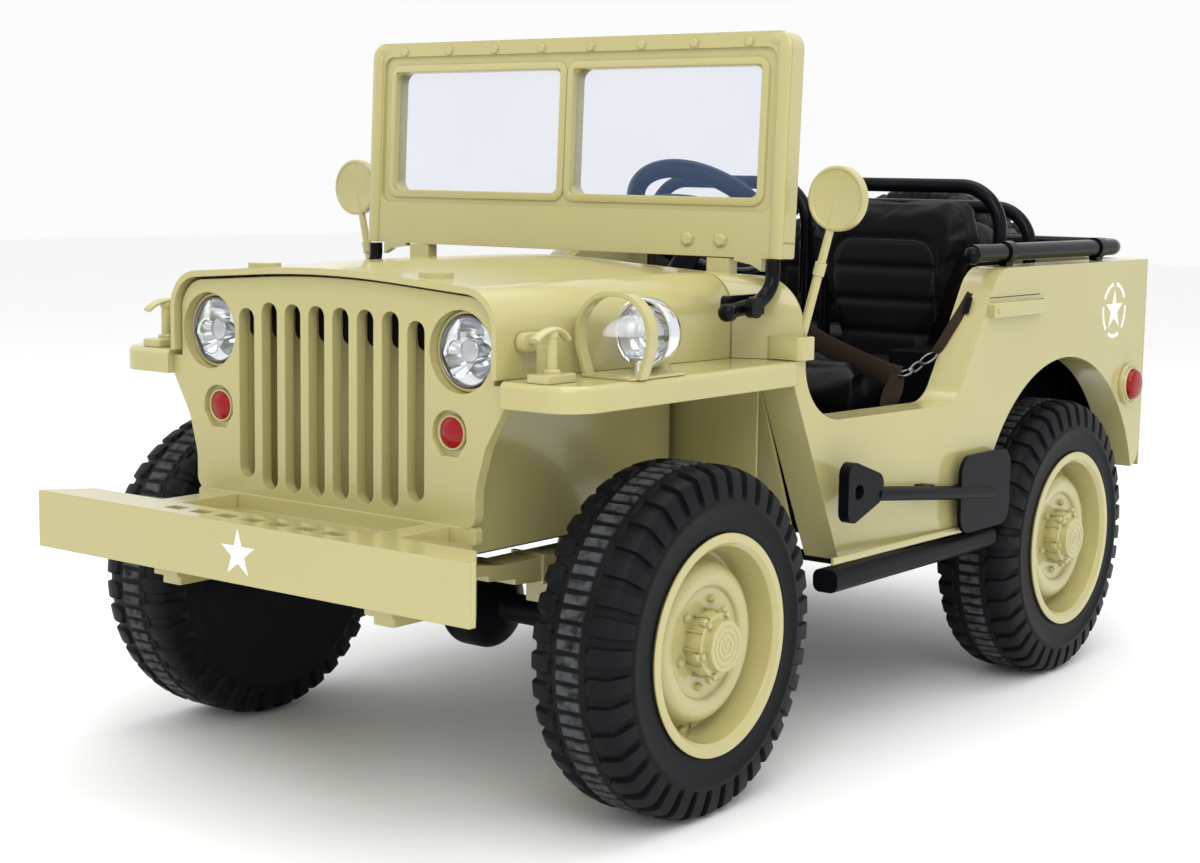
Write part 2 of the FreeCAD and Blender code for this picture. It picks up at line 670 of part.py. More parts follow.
def make_chassis():
    """Two kinked rails, and the cross members between them."""
    front = FRONT + S.bumper_depth + S.seat_gap
    rear = past(S.rail_rear_end)
    inner = S.rail_track - S.rail_half_width
    outer = S.rail_track + S.rail_half_width
    rail = new_body("rail_body")
    pad(rail, "rail_profile", "YZ_Plane", [[
        (front, S.rail_front_bottom),
        (behind(S.rail_kick_start), S.rail_front_bottom, S.rail_half_width * 2),
        (behind(S.rail_kick_end), S.rail_rear_bottom, S.rail_half_width * 2),
        (rear, S.rail_rear_bottom),
        (rear, S.rail_rear_top),
        (behind(S.rail_kick_end), S.rail_rear_top, S.rail_half_width * 2),
        (behind(S.rail_kick_start), S.rail_front_top, S.rail_half_width * 2),
        (front, S.rail_front_top),
    ]], inner, outer)
    node("chassis_rails", both_sides("chassis_rails", rail))
    width = S.cross_member
    raised = (S.rail_front_bottom, S.rail_front_top)
    lowered = (S.rail_rear_bottom, S.rail_rear_top)
    crosses = [
        (behind(-S.grille_ahead), behind(-S.grille_ahead) + width, *raised),
        (behind(S.rail_kick_end), behind(S.rail_kick_end) + width, *lowered),
        (ahead(S.battery_front) - S.overrun, ahead(S.second_cross) + width, *lowered),
        (past(S.third_cross), past(S.third_cross) + width, *lowered),
    ]
    half = inner - S.seat_gap
    members = []
    for number, cross in enumerate(crosses):
        member = new_body("cross_member_%d" % number)
        pad(member, "cross_%d" % number, "YZ_Plane", [rectangle(*cross)], -half, half)
        members.append(member)
    node("chassis_crossmembers", group("chassis_crossmembers", members))


def make_leaf_springs():
    """Two stacks of bowed leaves over the front axle, with their clips and shackles."""
    leaves = new_body("leaf_stack_body")
    inner = S.rail_track - S.leaf_width / 2
    outer = S.rail_track + S.leaf_width / 2
    steps = 4
    top = S.rail_front_bottom - S.seat_gap
    for number in range(steps):
        share = 1 - number / (steps + 1)
        half = S.leaf_half_length * share
        rise = S.leaf_rise * share * share
        upper = top - S.leaf_thickness * number
        lower = upper - S.leaf_thickness
        pad(leaves, "leaf_%d" % number, "YZ_Plane", [[
            (FRONT_AXLE - half, upper + rise - S.leaf_rise),
            (FRONT_AXLE - half / 2, upper - S.leaf_rise, half / 2),
            (FRONT_AXLE + half / 2, upper - S.leaf_rise, half / 2),
            (FRONT_AXLE + half, upper + rise - S.leaf_rise),
            (FRONT_AXLE + half, lower + rise - S.leaf_rise),
            (FRONT_AXLE + half / 2, lower - S.leaf_rise, half / 2),
            (FRONT_AXLE - half / 2, lower - S.leaf_rise, half / 2),
            (FRONT_AXLE - half, lower + rise - S.leaf_rise),
        ]], inner, outer)
    stack_bottom = top - S.leaf_rise - S.leaf_thickness * steps
    pad(leaves, "leaf_saddle", "YZ_Plane", [rectangle(
        FRONT_AXLE - S.leaf_width / 2, FRONT_AXLE + S.leaf_width / 2,
        S.tyre_radius + S.axle_tube_radius + S.seat_gap, stack_bottom + S.leaf_thickness)],
        inner, outer)
    for name, sign in (("ahead", -1), ("behind", 1)):
        middle = FRONT_AXLE + sign * S.leaf_width
        pad(leaves, "leaf_clip_" + name, "YZ_Plane", [rectangle(
            middle - S.clip_thickness, middle + S.clip_thickness,
            stack_bottom - S.clip_thickness, top - S.leaf_rise + S.clip_thickness)],
            inner - S.clip_thickness, outer + S.clip_thickness)
    node("leaf_springs", both_sides("leaf_springs", leaves))


# Bumper and grille

def make_bumper():
    face = FRONT
    back = FRONT + S.bumper_depth
    half = S.bumper_half_length
    body = new_body("bumper_channel")
    pad(body, "bumper_solid", "XZ_Plane",
        [rectangle(-half, half, S.bumper_bottom, S.bumper_top, S.bumper_wall / 3)], face, back)
    tips = []
    for sign in (1, -1):
        tips.append([
            (sign * half, face + S.bumper_wall),
            (sign * (half + S.overrun), face + S.bumper_wall),
            (sign * (half + S.overrun), back + S.overrun),
            (sign * (half - S.bumper_taper), back + S.overrun),
            (sign * (half - S.bumper_taper), back),
        ])
    cut(body, "bumper_tapers", "XY_Plane", tips, S.bumper_bottom - S.overrun,
        S.bumper_top + S.overrun)
    rib_in = S.rail_track - S.rail_half_width
    rib_out = S.rail_track + S.rail_half_width
    cell = half - S.bumper_taper - S.bumper_cap
    bays = [
        rectangle(low, high, S.bumper_bottom + S.bumper_wall, S.bumper_top - S.bumper_wall)
        for low, high in (
            (-cell, -rib_out), (-rib_in, rib_in), (rib_out, cell))
    ]
    cut(body, "bumper_hollow", "XZ_Plane", bays, face + S.bumper_wall, back + S.overrun)
    slots = []
    count = 7
    middle = (face + back) / 2
    for number in range(count):
        centre = S.bumper_slot_pitch * (number - (count - 1) / 2)
        slots.append(rectangle(
            centre - S.bumper_slot_length / 2, centre + S.bumper_slot_length / 2,
            middle - S.bumper_slot_width / 2, middle + S.bumper_slot_width / 2))
    cut(body, "bumper_slots", "XY_Plane", slots,
        S.bumper_top - S.bumper_wall - S.overrun, S.bumper_top + S.overrun)
    horns = []
    for number, sign in enumerate((1, -1)):
        edges = [sign * (S.rail_track + S.rail_half_width + S.seat_gap),
                 sign * (S.rail_track + S.rail_half_width + S.horn_width)]
        edges.sort(key=amount)
        horn = new_body("horn_%d" % number)
        pad(horn, "horn_solid_%d" % number, "YZ_Plane", [[
            (back + S.seat_gap, S.bumper_top),
            (back + S.seat_gap, S.bumper_top - S.horn_height),
            (back + S.horn_reach, S.bumper_top - S.horn_height),
            (back + S.horn_reach, S.bumper_top - S.horn_height / 2),
        ]], *edges)
        horns.append(horn)
    node("front_bumper", group("front_bumper", [body] + horns))


def grille_outline(shrink=0):
    """The grille's outline: cheeks beside the fenders, a neck below, the hood's arch above."""
    inner = S.hood_front_half - S.hood_wall - S.swing_gap
    shoulder = S.hood_front_shoulder - S.hood_wall - S.swing_gap
    crown = S.hood_front_crown - S.hood_wall - S.swing_gap
    neck_low = S.cheek_low - (S.cheek_high - S.cheek_low)
    left = [
        (S.grille_foot - shrink, S.grille_bottom + shrink, S.grille_corner),
        (S.grille_foot - shrink, neck_low, S.grille_corner * 4),
        (S.grille_neck - shrink, S.cheek_low, S.grille_corner * 2),
        (S.grille_cheek - shrink, S.cheek_high),
        (S.grille_cheek - shrink, S.fender_top - S.swing_gap * 2),
        (inner - shrink, S.fender_top - S.swing_gap * 2),
        (inner - shrink, shoulder, S.hood_corner - S.hood_wall),
    ]
    right = [(-corner[0],) + corner[1:] for corner in reversed(left)]
    return left + [(0, crown - shrink, S.hood_crown_radius)] + right


def make_grille():
    face = behind(-S.grille_ahead)
    back = face + S.grille_wall
    body = new_body("grille_panel")
    pad(body, "grille_plate", "XZ_Plane", [grille_outline()], face, back)
    slots = []
    count = 8
    for number in range(count):
        centre = S.slot_pitch * (number - (count - 1) / 2)
        outer = number in (0, count - 1)
        low = S.outer_slot_low if outer else S.slot_low
        high = S.outer_slot_high if outer else S.slot_high
        low = low + S.grille_corner
        slots.append(rectangle(
            centre - S.slot_width / 2, centre + S.slot_width / 2, low, high,
            S.slot_width * 0.48))
    cut(body, "grille_slots", "XZ_Plane", slots, face - S.overrun, back + S.overrun)
    cut(body, "lamp_holes", "XZ_Plane", [
        (S.lamp_track, S.lamp_height, S.lamp_ring_radius),
        (-S.lamp_track, S.lamp_height, S.lamp_ring_radius),
    ], face - S.overrun, back + S.overrun)
    pockets = []
    for sign in (1, -1):
        centre = sign * S.marker_track
        half = S.marker_pocket
        foot = S.marker_height - S.marker_pocket_drop
        pockets.append([
            (centre - half, S.marker_height + half, half * 0.95),
            (centre - half, S.marker_height - half / 3),
            (centre - half / 2, foot),
            (centre + half / 2, foot),
            (centre + half, S.marker_height - half / 3),
            (centre + half, S.marker_height + half, half * 0.95),
        ])
    cut(body, "marker_pockets", "XZ_Plane", pockets, face - S.overrun, face + S.marker_recess)
    node("grille", body)


def make_backing():
    """The deep box behind the slots, closed at the back, with dark vents at both ends."""
    face = behind(-S.grille_ahead) + S.grille_wall + S.seat_gap
    half = (S.slot_pitch * 7 + S.slot_width) / 2 + S.backing_wall
    low = S.rail_front_top + S.seat_gap
    high = S.slot_high + S.slot_width / 2
    body = new_body("backing_box")
    pad(body, "backing_solid", "XZ_Plane", [rectangle(-half, half, low, high)],
        face, face + S.backing_depth)
    cut(body, "backing_hollow", "XZ_Plane", [rectangle(
        -half + S.backing_wall, half - S.backing_wall, low + S.backing_wall / 2,
        high - S.backing_wall)], face - S.overrun, face + S.backing_depth - S.backing_wall)
    node("radiator_backing", body)


def make_headlamps():
    face = behind(-S.grille_ahead) + S.lamp_recess
    radius = S.lamp_ring_radius - S.seat_gap
    seat = S.grille_wall - S.lamp_recess
    lamp = new_body("headlamp_body")
    turn(lamp, "headlamp_round", "XZ_Plane", [
        (0, S.lamp_dome), (S.lamp_radius, 0, S.lamp_radius / 2), (radius, 0), (radius, -seat),
        (S.lamp_radius, -seat), (S.lamp_radius / 2, -S.lamp_depth), (0, -S.lamp_depth),
    ], axis="V_Axis")
    pointed = FreeCAD.Rotation(X_AXIS, 90)
    left = placed(group("headlamp_left", [lamp]), S.lamp_track, face, S.lamp_height, pointed)
    node("headlamps", both_sides("headlamps", left))


def make_markers():
    seat = behind(-S.grille_ahead) + S.marker_recess - S.seat_gap
    marker = new_body("marker_body")
    edge = S.marker_radius + S.marker_rim
    turn(marker, "marker_round", "XZ_Plane", [
        (0, 0), (edge, 0), (edge, S.marker_proud / 2), (S.marker_radius, S.marker_proud / 2),
        (S.marker_radius * 0.8, S.marker_proud, S.marker_rim), (0, S.marker_proud),
    ], axis="V_Axis")
    pointed = FreeCAD.Rotation(X_AXIS, 90)
    left = placed(group("marker_left", [marker]), S.marker_track, seat, S.marker_height, pointed)
    node("marker_lamps", both_sides("marker_lamps", left))


# Fenders and engine bay

def make_fenders():
    front = behind(-S.fender_ahead)
    back = behind(S.skirt_start) - S.seat_gap
    cheek = S.grille_cheek + S.seat_gap
    behind_grille = behind(-S.grille_ahead) + S.grille_wall + S.seat_gap
    low = S.fender_top - S.fender_skirt
    body = new_body("fender_body")
    pad(body, "fender_solid", "XY_Plane", [[
        (cheek, front),
        (S.fender_half_width, front, S.fender_corner),
        (S.fender_half_width, back),
        (S.fender_inner, back),
        (S.fender_inner, behind_grille),
        (cheek, behind_grille),
    ]], low, S.fender_top)
    round_edges(body, "fender_round", S.fender_edge, lambda edge: (
        edge.BoundBox.ZMin > amount(S.fender_top - S.seat_gap)
        and edge.BoundBox.XMax > amount(cheek + S.seat_gap)
        and edge.BoundBox.YMin < amount(back - S.seat_gap)
    ))
    wall = S.fender_wall
    cut(body, "fender_hollow", "XY_Plane", [[
        (cheek + wall, front + wall),
        (S.fender_half_width - wall, front + wall, S.fender_corner - wall),
        (S.fender_half_width - wall, back - wall),
        (S.fender_inner + wall, back - wall),
        (S.fender_inner + wall, behind_grille + wall),
        (cheek + wall, behind_grille + wall),
    ]], low - S.overrun, S.fender_top - S.fender_edge)
    node("front_fender_left", body)
    node("front_fender_right", mirror("front_fender_right", body))


def make_engine_bay():
    """Inner panels from the grille to the firewall, with a ledge under each fender."""
    start = behind(-S.grille_ahead) + S.grille_wall + S.seat_gap
    stop = behind(S.hood_back) - S.bay_wall
    lamp_back = behind(-S.grille_ahead) + S.lamp_recess + S.lamp_depth + S.seat_gap
    lamp_foot = S.lamp_height - S.lamp_ring_radius - S.seat_gap
    inner = S.bay_half_width - S.bay_wall
    under = S.fender_top - S.fender_skirt - S.seat_gap
    body = new_body("bay_panel_body")
    pad(body, "bay_wall_sheet", "YZ_Plane", [[
        (start, S.bay_bottom), (stop, S.bay_bottom), (stop, S.fender_top),
        (lamp_back, S.fender_top), (lamp_back, lamp_foot), (start, lamp_foot),
    ]], inner, S.bay_half_width)
    pad(body, "bay_ledge", "XZ_Plane", [rectangle(
        inner, S.fender_inner + S.bay_lip, under - S.bay_wall, under)], start, stop)
    wall = new_body("firewall_sheet")
    pad(wall, "firewall", "XZ_Plane", [rectangle(
        -S.bay_half_width, S.bay_half_width, S.rail_front_top + S.seat_gap, S.fender_top)],
        stop + S.seat_gap, stop + S.bay_wall)
    liner = new_body("wheel_liner")
    top = S.fender_top - S.fender_skirt
    pad(liner, "wheel_liner_sheet", "YZ_Plane", [[
        (behind(S.skirt_start), top),
        (behind(S.skirt_start) + S.bay_wall, top),
        (behind(S.tub_front_corner), S.tub_bottom),
        (behind(S.tub_front_corner) - S.bay_wall, S.tub_bottom),
    ]], S.bay_half_width + S.seat_gap, S.tub_front_half - S.tub_wall - S.seat_gap)
    node("engine_bay_panels", group("engine_bay_panels", [
        body, mirror("bay_panel_right", body), wall, liner,
        mirror("wheel_liner_right", liner)]))


# Hood and cowl

def hood_section(half, shoulder, crown, low, shrink=0, corner=None):
    corner = S.hood_corner if corner is None else corner
    return [
        (-half + shrink, low),
        (half - shrink, low),
        (half - shrink, shoulder - shrink, corner - shrink),
        (0, crown - shrink, S.hood_crown_radius),
        (-half + shrink, shoulder - shrink, corner - shrink),
    ]


def make_hood():
    front = behind(-S.fender_ahead)
    back = behind(S.hood_back)
    low = S.fender_top + S.seat_gap
    body = new_body("hood_shell")
    loft(body, "hood_outside", "XZ_Plane", [
        (hood_section(S.hood_front_half, S.hood_front_shoulder, S.hood_front_crown, low), front),
        (hood_section(S.hood_rear_half, S.hood_rear_shoulder, S.hood_rear_crown, low), back),
    ])
    loft(body, "hood_inside", "XZ_Plane", [
        (hood_section(S.hood_front_half, S.hood_front_shoulder, S.hood_front_crown, low,
                      S.hood_wall), front),
        (hood_section(S.hood_rear_half, S.hood_rear_shoulder, S.hood_rear_crown, low,
                      S.hood_wall), back),
    ], cutting=True)
    place = front + S.hood_pad_behind
    top = S.hood_front_shoulder + S.hood_corner / 5 + S.hood_pad_proud
    pads = [(sign * S.hood_pad_track, place, S.hood_pad_radius) for sign in (1, -1)]
    pad(body, "hood_pads", "XY_Plane", pads, top - S.hood_pad_proud * 2, top)
    node("hood", body)


def make_cowl():
    front = behind(S.hood_back) + S.hood_seam
    back = behind(S.cowl_back)
    low = S.fender_top + S.seat_gap
    body = new_body("cowl_shell")
    loft(body, "cowl_outside", "XZ_Plane", [
        (hood_section(S.hood_rear_half, S.hood_rear_shoulder, S.hood_rear_crown, low), front),
        (hood_section(S.cowl_half_width, S.cowl_shoulder, S.cowl_crown, low, 0,
                      S.cowl_corner), back),
    ])
    loft(body, "cowl_inside", "XZ_Plane", [
        (hood_section(S.hood_rear_half, S.hood_rear_shoulder, S.hood_rear_crown,
                      low - S.overrun, S.cowl_wall), front + S.cowl_wall),
        (hood_section(S.cowl_half_width, S.cowl_shoulder, S.cowl_crown, low - S.overrun,
                      S.cowl_wall, S.cowl_corner), back),
    ], cutting=True)
    for side, edges in (("left", (S.rest_inner, S.rest_outer)),
                        ("right", (-S.rest_outer, -S.rest_inner))):
        pad(body, "screen_rest_" + side, "XY_Plane", [rectangle(
            *edges, behind(S.screen_behind) - S.screen_depth / 2,
            behind(S.screen_behind) + S.screen_depth / 4, S.cowl_wall / 4)],
            S.cowl_shoulder - S.cowl_wall, S.screen_bottom - S.seat_gap * 2)
    node("cowl", body)


# Tub

def make_tub_sides():
    wall_in = S.tub_front_half - S.tub_wall
    tail = TAIL - S.tail_wall - S.seat_gap
    plan = new_body("tub_side_plan")
    low, high = S.tub_bottom - S.overrun, S.tub_top + S.overrun
    pad(plan, "tub_plan", "XY_Plane", [[
        (wall_in, behind(S.skirt_start)),
        (S.tub_front_half, behind(S.skirt_start)),
        (S.tub_half_width, ahead(S.flare_end), S.flare_radius),
        (S.tub_half_width, tail),
        (S.tub_half_width - S.tub_wall, tail),
        (S.tub_half_width - S.tub_wall, ahead(S.flare_end), S.flare_radius),
    ]], low, high)
    side = new_body("tub_side_view")
    pad(side, "side_outline", "YZ_Plane", [[
        (behind(S.skirt_start), S.fender_top),
        (behind(S.door_edge), S.fender_top),
        (behind(S.door_edge), S.sill_height, S.sill_corner),
        (ahead(S.pillar_foot), S.sill_height, S.pillar_foot_radius),
        (ahead(S.pillar_head), S.tub_top, S.pillar_head_radius),
        (tail, S.tub_top),
        (tail, S.tail_bottom, S.tail_corner),
        (REAR_AXLE, S.tail_bottom),
        (REAR_AXLE, S.tub_bottom),
        (behind(S.tub_front_corner), S.tub_bottom),
        (behind(S.skirt_start), S.fender_top - S.fender_skirt),
    ]], wall_in - S.overrun, S.tub_half_width + S.overrun)
    cut(side, "arch_round", "YZ_Plane", [(REAR_AXLE, S.tyre_radius, S.arch_radius)],
        wall_in - S.overrun * 2, S.tub_half_width + S.overrun * 2)
    cut(side, "arch_step_cut", "YZ_Plane", [rectangle(
        ahead(S.arch_step), REAR_AXLE, S.tub_bottom - S.overrun, S.arch_step_height)],
        wall_in - S.overrun * 2, S.tub_half_width + S.overrun * 2)
    left = shared("tub_side_left", side, plan)
    node("tub_side_left", left)
    node("tub_side_right", mirror("tub_side_right", left))


def make_floor():
    """Floor, seat pans and inner wheel housings as one moulding."""
    front_half = S.tub_front_half - S.tub_wall - S.seat_gap
    rear_half = S.tub_half_width - S.tub_wall - S.seat_gap * 3
    wall = S.floor_wall
    low = S.rail_rear_top + S.seat_gap
    back = TAIL - S.tail_wall - S.seat_gap
    toe_top = S.dash_bottom - S.seat_gap
    dash_front = behind(S.cowl_back) + S.seat_gap
    upper = [
        (dash_front + wall, toe_top),
        (behind(S.toe_board), low + wall, wall * 2),
        (ahead(S.seat_pan_front), low + wall, wall),
        (ahead(S.seat_pan_front), S.seat_pan_height, wall),
        (ahead(S.seat_pan_back), S.seat_pan_height, wall),
        (ahead(S.seat_pan_back), S.foot_height, wall),
        (past(S.bench_front), S.foot_height, wall),
        (past(S.bench_front), S.bench_pan_height, wall),
        (past(S.bench_back), S.bench_pan_height, wall),
        (past(S.bench_back), low + wall, wall),
        (back, low + wall),
    ]
    lower = [
        (back, low),
        (past(S.bench_back) - wall, low, wall / 2),
        (past(S.bench_back) - wall, S.bench_pan_height - wall, wall / 2),
        (past(S.bench_front) + wall, S.bench_pan_height - wall, wall / 2),
        (past(S.bench_front) + wall, S.foot_height - wall, wall / 2),
        (ahead(S.seat_pan_back) - wall, S.foot_height - wall, wall / 2),
        (ahead(S.seat_pan_back) - wall, S.seat_pan_height - wall, wall / 2),
        (ahead(S.seat_pan_front) + wall, S.seat_pan_height - wall, wall / 2),
        (ahead(S.seat_pan_front) + wall, low, wall / 2),
        (behind(S.toe_board) - wall, low, wall),
        (dash_front, toe_top),
    ]
    body = new_body("floor_body")
    pad(body, "floor_sheet", "YZ_Plane", [upper + lower], -front_half, front_half)
    for side, sign in (("left", 1), ("right", -1)):
        across = [sign * S.floor_half_width, sign * rear_half]
        across.sort(key=amount)
        pad(body, "wheelhouse_" + side, "XY_Plane", [rectangle(
            *across, ahead(S.wheelhouse_front), back, wall)], low, S.wheelhouse_top)
        across = [sign * (S.floor_half_width + wall), sign * (rear_half + S.overrun)]
        across.sort(key=amount)
        cut(body, "wheelhouse_room_" + side, "XY_Plane", [rectangle(
            *across, ahead(S.wheelhouse_front) + wall, back - wall, wall)],
            low - S.overrun, S.wheelhouse_top - wall)
    node("tub_floor", body)


def make_tail():
    half = S.tub_half_width
    body = new_body("tail_panel")
    pad(body, "tail_sheet", "XY_Plane", [[
        (-half, TAIL - S.tail_wall),
        (half, TAIL - S.tail_wall),
        (half, TAIL, S.tail_wall * 0.9),
        (-half, TAIL, S.tail_wall * 0.9),
    ]], S.tail_bottom, S.tub_top)
    node("tub_tail", body)


# Windshield

def screen_piece(name, members):
    """Sets pieces drawn about the foot of the windshield to their place and lean."""
    lean = FreeCAD.Rotation(X_AXIS, -SIZES["screen_lean"])
    return node(name, placed(group(name, members), 0, behind(S.screen_behind),
                             S.screen_bottom, lean))


def make_windshield():
    front = -S.screen_depth / 2
    back = S.screen_depth / 2
    frame = new_body("screen_frame")
    pad(frame, "screen_sheet", "XZ_Plane", [rectangle(
        -S.screen_half_width, S.screen_half_width, 0, S.screen_height, S.screen_corner)],
        front, back)
    cut(frame, "screen_panel", "XZ_Plane", [rectangle(
        -S.panel_half_width, S.panel_half_width, S.panel_low, S.panel_high, S.window_corner)],
        front - S.overrun, front + S.panel_sink)
    windows = [
        rectangle(S.window_inner, S.window_outer, S.window_low, S.window_high,
                  S.window_corner),
        rectangle(-S.window_outer, -S.window_inner, S.window_low, S.window_high,
                  S.window_corner),
    ]
    cut(frame, "screen_windows", "XZ_Plane", windows, front - S.overrun, back + S.overrun)
    for side, sign in (("left", 1), ("right", -1)):
        pad(frame, "gusset_" + side, "XZ_Plane", [[
            (sign * S.gusset_inner, S.gusset_wall),
            (sign * S.gusset_inner, -S.gusset_drop / 4),
            (sign * (S.gusset_outer - S.gusset_drop), -S.gusset_drop / 2, S.gusset_drop),
            (sign * S.gusset_outer, -S.gusset_drop),
            (sign * S.gusset_outer, S.gusset_wall),
        ]], front, front + S.gusset_wall)
    screen_piece("windshield_frame", [frame])

    pane = new_body("screen_pane")
    pad(pane, "pane_sheet", "XZ_Plane", [rectangle(
        S.window_inner + S.seat_gap, S.window_outer - S.seat_gap,
        S.window_low + S.seat_gap, S.window_high - S.seat_gap, S.window_corner)],
        -S.glass_wall / 2, S.glass_wall / 2)
    screen_piece("windshield_glass", [pane, mirror("screen_pane_right", pane)])


def make_screen_arms():
    """Bent tubes from the windshield's foot to its pivots, with a gusset above each."""
    nose = behind(S.pivot_behind - S.arm_nose)
    foot = behind(S.screen_behind) - S.arm_radius
    bend = S.arm_radius * 3
    arm = tube("screen_arm", "YZ_Plane", [
        (foot, S.screen_bottom - S.seat_gap * 2),
        (foot, S.pivot_height + S.arm_radius, bend),
        (nose, S.pivot_height - S.arm_radius / 2),
    ], S.arm_track, S.arm_radius, -Z_AXIS)
    bore = rod("pivot_bore", S.pivot_radius + S.bearing_gap, S.arm_radius * 4,
               S.arm_track - S.arm_radius * 2, behind(S.pivot_behind), S.pivot_height, X_AXIS)
    left = without("screen_arm_left", arm, bore)
    node("windshield_arms", both_sides("windshield_arms", left))


def make_pivots():
    """Lugs on the cowl's sides with the pins that the arms turn on."""
    outer = S.arm_track - S.arm_radius - S.bearing_gap
    inner = outer - S.lug_wall
    lug = new_body("pivot_lug")
    pad(lug, "lug_sheet", "YZ_Plane", [[
        (behind(S.pivot_behind) - S.lug_half_height,
         S.pivot_height - S.lug_half_height, S.lug_half_height / 2),
        (behind(S.lug_root), S.pivot_height - S.lug_half_height),
        (behind(S.lug_root), S.pivot_height + S.lug_half_height),
        (behind(S.pivot_behind) - S.lug_half_height,
         S.pivot_height + S.lug_half_height, S.lug_half_height / 2),
    ]], inner, outer)
    pad(lug, "lug_pin", "YZ_Plane", [(behind(S.pivot_behind), S.pivot_height, S.pivot_radius)],
        inner, S.arm_track + S.arm_radius + S.knob_wall)
    pad(lug, "lug_knob", "YZ_Plane", [(behind(S.pivot_behind), S.pivot_height, S.knob_radius)],
        S.arm_track + S.arm_radius + S.bearing_gap, S.arm_track + S.arm_radius + S.knob_wall)
    seated = without("pivot_lug_seated", lug, NODES["cowl"])
    node("windshield_pivots", both_sides("windshield_pivots", seated))


# Steering wheel

def make_steering_wheel():
    tilt = FreeCAD.Rotation(X_AXIS, -SIZES["ring_tilt"])
    ring = document.addObject("Part::Torus", "ring_torus")
    bind(ring, "Radius1", S.ring_centreline)
    bind(ring, "Radius2", S.ring_tube)
    hub = rod("ring_hub", S.hub_radius, S.hub_wall, 0, 0, -S.hub_wall / 2)
    spokes = []
    for number in range(3):
        angle = math.radians(90 + 120 * number)
        direction = FreeCAD.Vector(math.cos(angle), math.sin(angle), 0)
        spokes.append(rod("spoke_%d" % number, S.spoke_radius, S.ring_centreline, 0, 0, 0,
                          direction))
    wheel = fused("steering_wheel_solid", [ring, hub] + spokes)
    spot = (S.ring_track, behind(S.ring_behind), S.ring_height)
    node("steering_wheel", placed(group("steering_wheel", [wheel]), *spot, tilt))
    down = tilt.multVec(-Z_AXIS)
    start = S.hub_wall / 2 + S.bearing_gap
    column = rod("column_rod", S.column_radius, S.column_length, S.ring_track,
                 behind(S.ring_behind) + down.y * start, S.ring_height + down.z * start, down)
    dash_face = behind(S.cowl_back) + S.dash_wall + S.seat_gap * 2
    room = box("column_end_room", 0, S.cowl_half_width, dash_face - S.column_length, dash_face,
               S.dash_bottom, S.ring_height)
    node("steering_column", without("steering_column", column, room))


def make_dashboard():
    """The dark panel that closes the cowl behind the hood."""
    front = behind(S.cowl_back) + S.seat_gap
    body = new_body("dashboard_panel")
    pad(body, "dash_sheet", "XZ_Plane", [hood_section(
        S.cowl_half_width, S.cowl_shoulder, S.cowl_crown, S.dash_bottom, S.cowl_wall / 2,
        S.cowl_corner)], front, front + S.dash_wall)
    node("dashboard", body)


# Seats

def make_seats():
    low = S.seat_pan_height + S.seat_gap
    cushion = new_body("seat_cushion")
    near = S.seat_track - S.seat_half_width
    far = S.seat_track + S.seat_half_width
    pad(cushion, "seat_cushion_block", "YZ_Plane", [rectangle(
        ahead(S.cushion_front), ahead(S.cushion_back), low, S.seat_pan_height + S.cushion_top,
        S.cushion_corner)], near, far)
    node("front_seat_cushions", both_sides("front_seat_cushions", cushion))
    back = new_body("seat_back")
    half = S.backrest_half_width
    foot = S.backrest_foot_half
    pad(back, "seat_back_block", "XZ_Plane", [[
        (S.seat_track - foot, low),
        (S.seat_track + foot, low),
        (S.seat_track + foot, S.wheelhouse_top, S.backrest_corner),
        (S.seat_track + half, S.backrest_top - S.backrest_corner, S.backrest_corner / 2),
        (S.seat_track + half - S.backrest_corner / 4, S.backrest_top, S.backrest_corner / 2),
        (S.seat_track - half + S.backrest_corner / 4, S.backrest_top, S.backrest_corner / 2),
        (S.seat_track - half, S.backrest_top - S.backrest_corner, S.backrest_corner / 2),
        (S.seat_track - foot, S.wheelhouse_top, S.backrest_corner),
    ]], ahead(S.backrest_front), ahead(S.backrest_front) + S.backrest_wall)
    node("front_seat_backs", both_sides("front_seat_backs", back))
    frame = tube("seat_frame", "XZ_Plane", [
        (S.seat_track - S.seat_frame_half, S.seat_pan_height + S.seat_gap),
        (S.seat_track - S.seat_frame_half, S.seat_frame_top - S.seat_tube, S.seat_bend),
        (S.seat_track + S.seat_frame_half, S.seat_frame_top - S.seat_tube, S.seat_bend),
        (S.seat_track + S.seat_frame_half, S.wheelhouse_top + S.seat_gap),
    ], ahead(S.seat_frame_behind), S.seat_tube, Z_AXIS)
    node("front_seat_frames", both_sides("front_seat_frames", frame))


def make_bench():
    low = S.bench_pan_height + S.seat_gap
    half = S.bench_half_width
    cushion = new_body("bench_cushion_body")
    pad(cushion, "bench_cushion_block", "YZ_Plane", [rectangle(
        past(S.bench_cushion_front), past(S.bench_cushion_back), low,
        S.bench_pan_height + S.bench_cushion_top, S.cushion_corner)], -half, half)
    node("rear_seat_cushion", cushion)
    back = new_body("bench_back_body")
    pad(back, "bench_back_block", "XZ_Plane", [[
        (-half, low), (half, low),
        (half, S.bench_backrest_top, S.backrest_corner),
        (-half, S.bench_backrest_top, S.backrest_corner),
    ]], past(S.bench_backrest_front), past(S.bench_backrest_front) + S.bench_backrest_wall)
    node("rear_seat_back", back)
    frame = tube("bench_frame", "XZ_Plane", [
        (-S.bench_frame_half, S.bench_pan_height + S.seat_gap),
        (-S.bench_frame_half, S.bench_frame_top - S.seat_tube, S.bench_bend),
        (S.bench_frame_half, S.bench_frame_top - S.seat_tube, S.bench_bend),
        (S.bench_frame_half, S.bench_pan_height + S.seat_gap),
    ], past(S.bench_frame_behind), S.seat_tube, Z_AXIS)
    node("rear_seat_frame", frame)


# Rail, mirrors and lamps

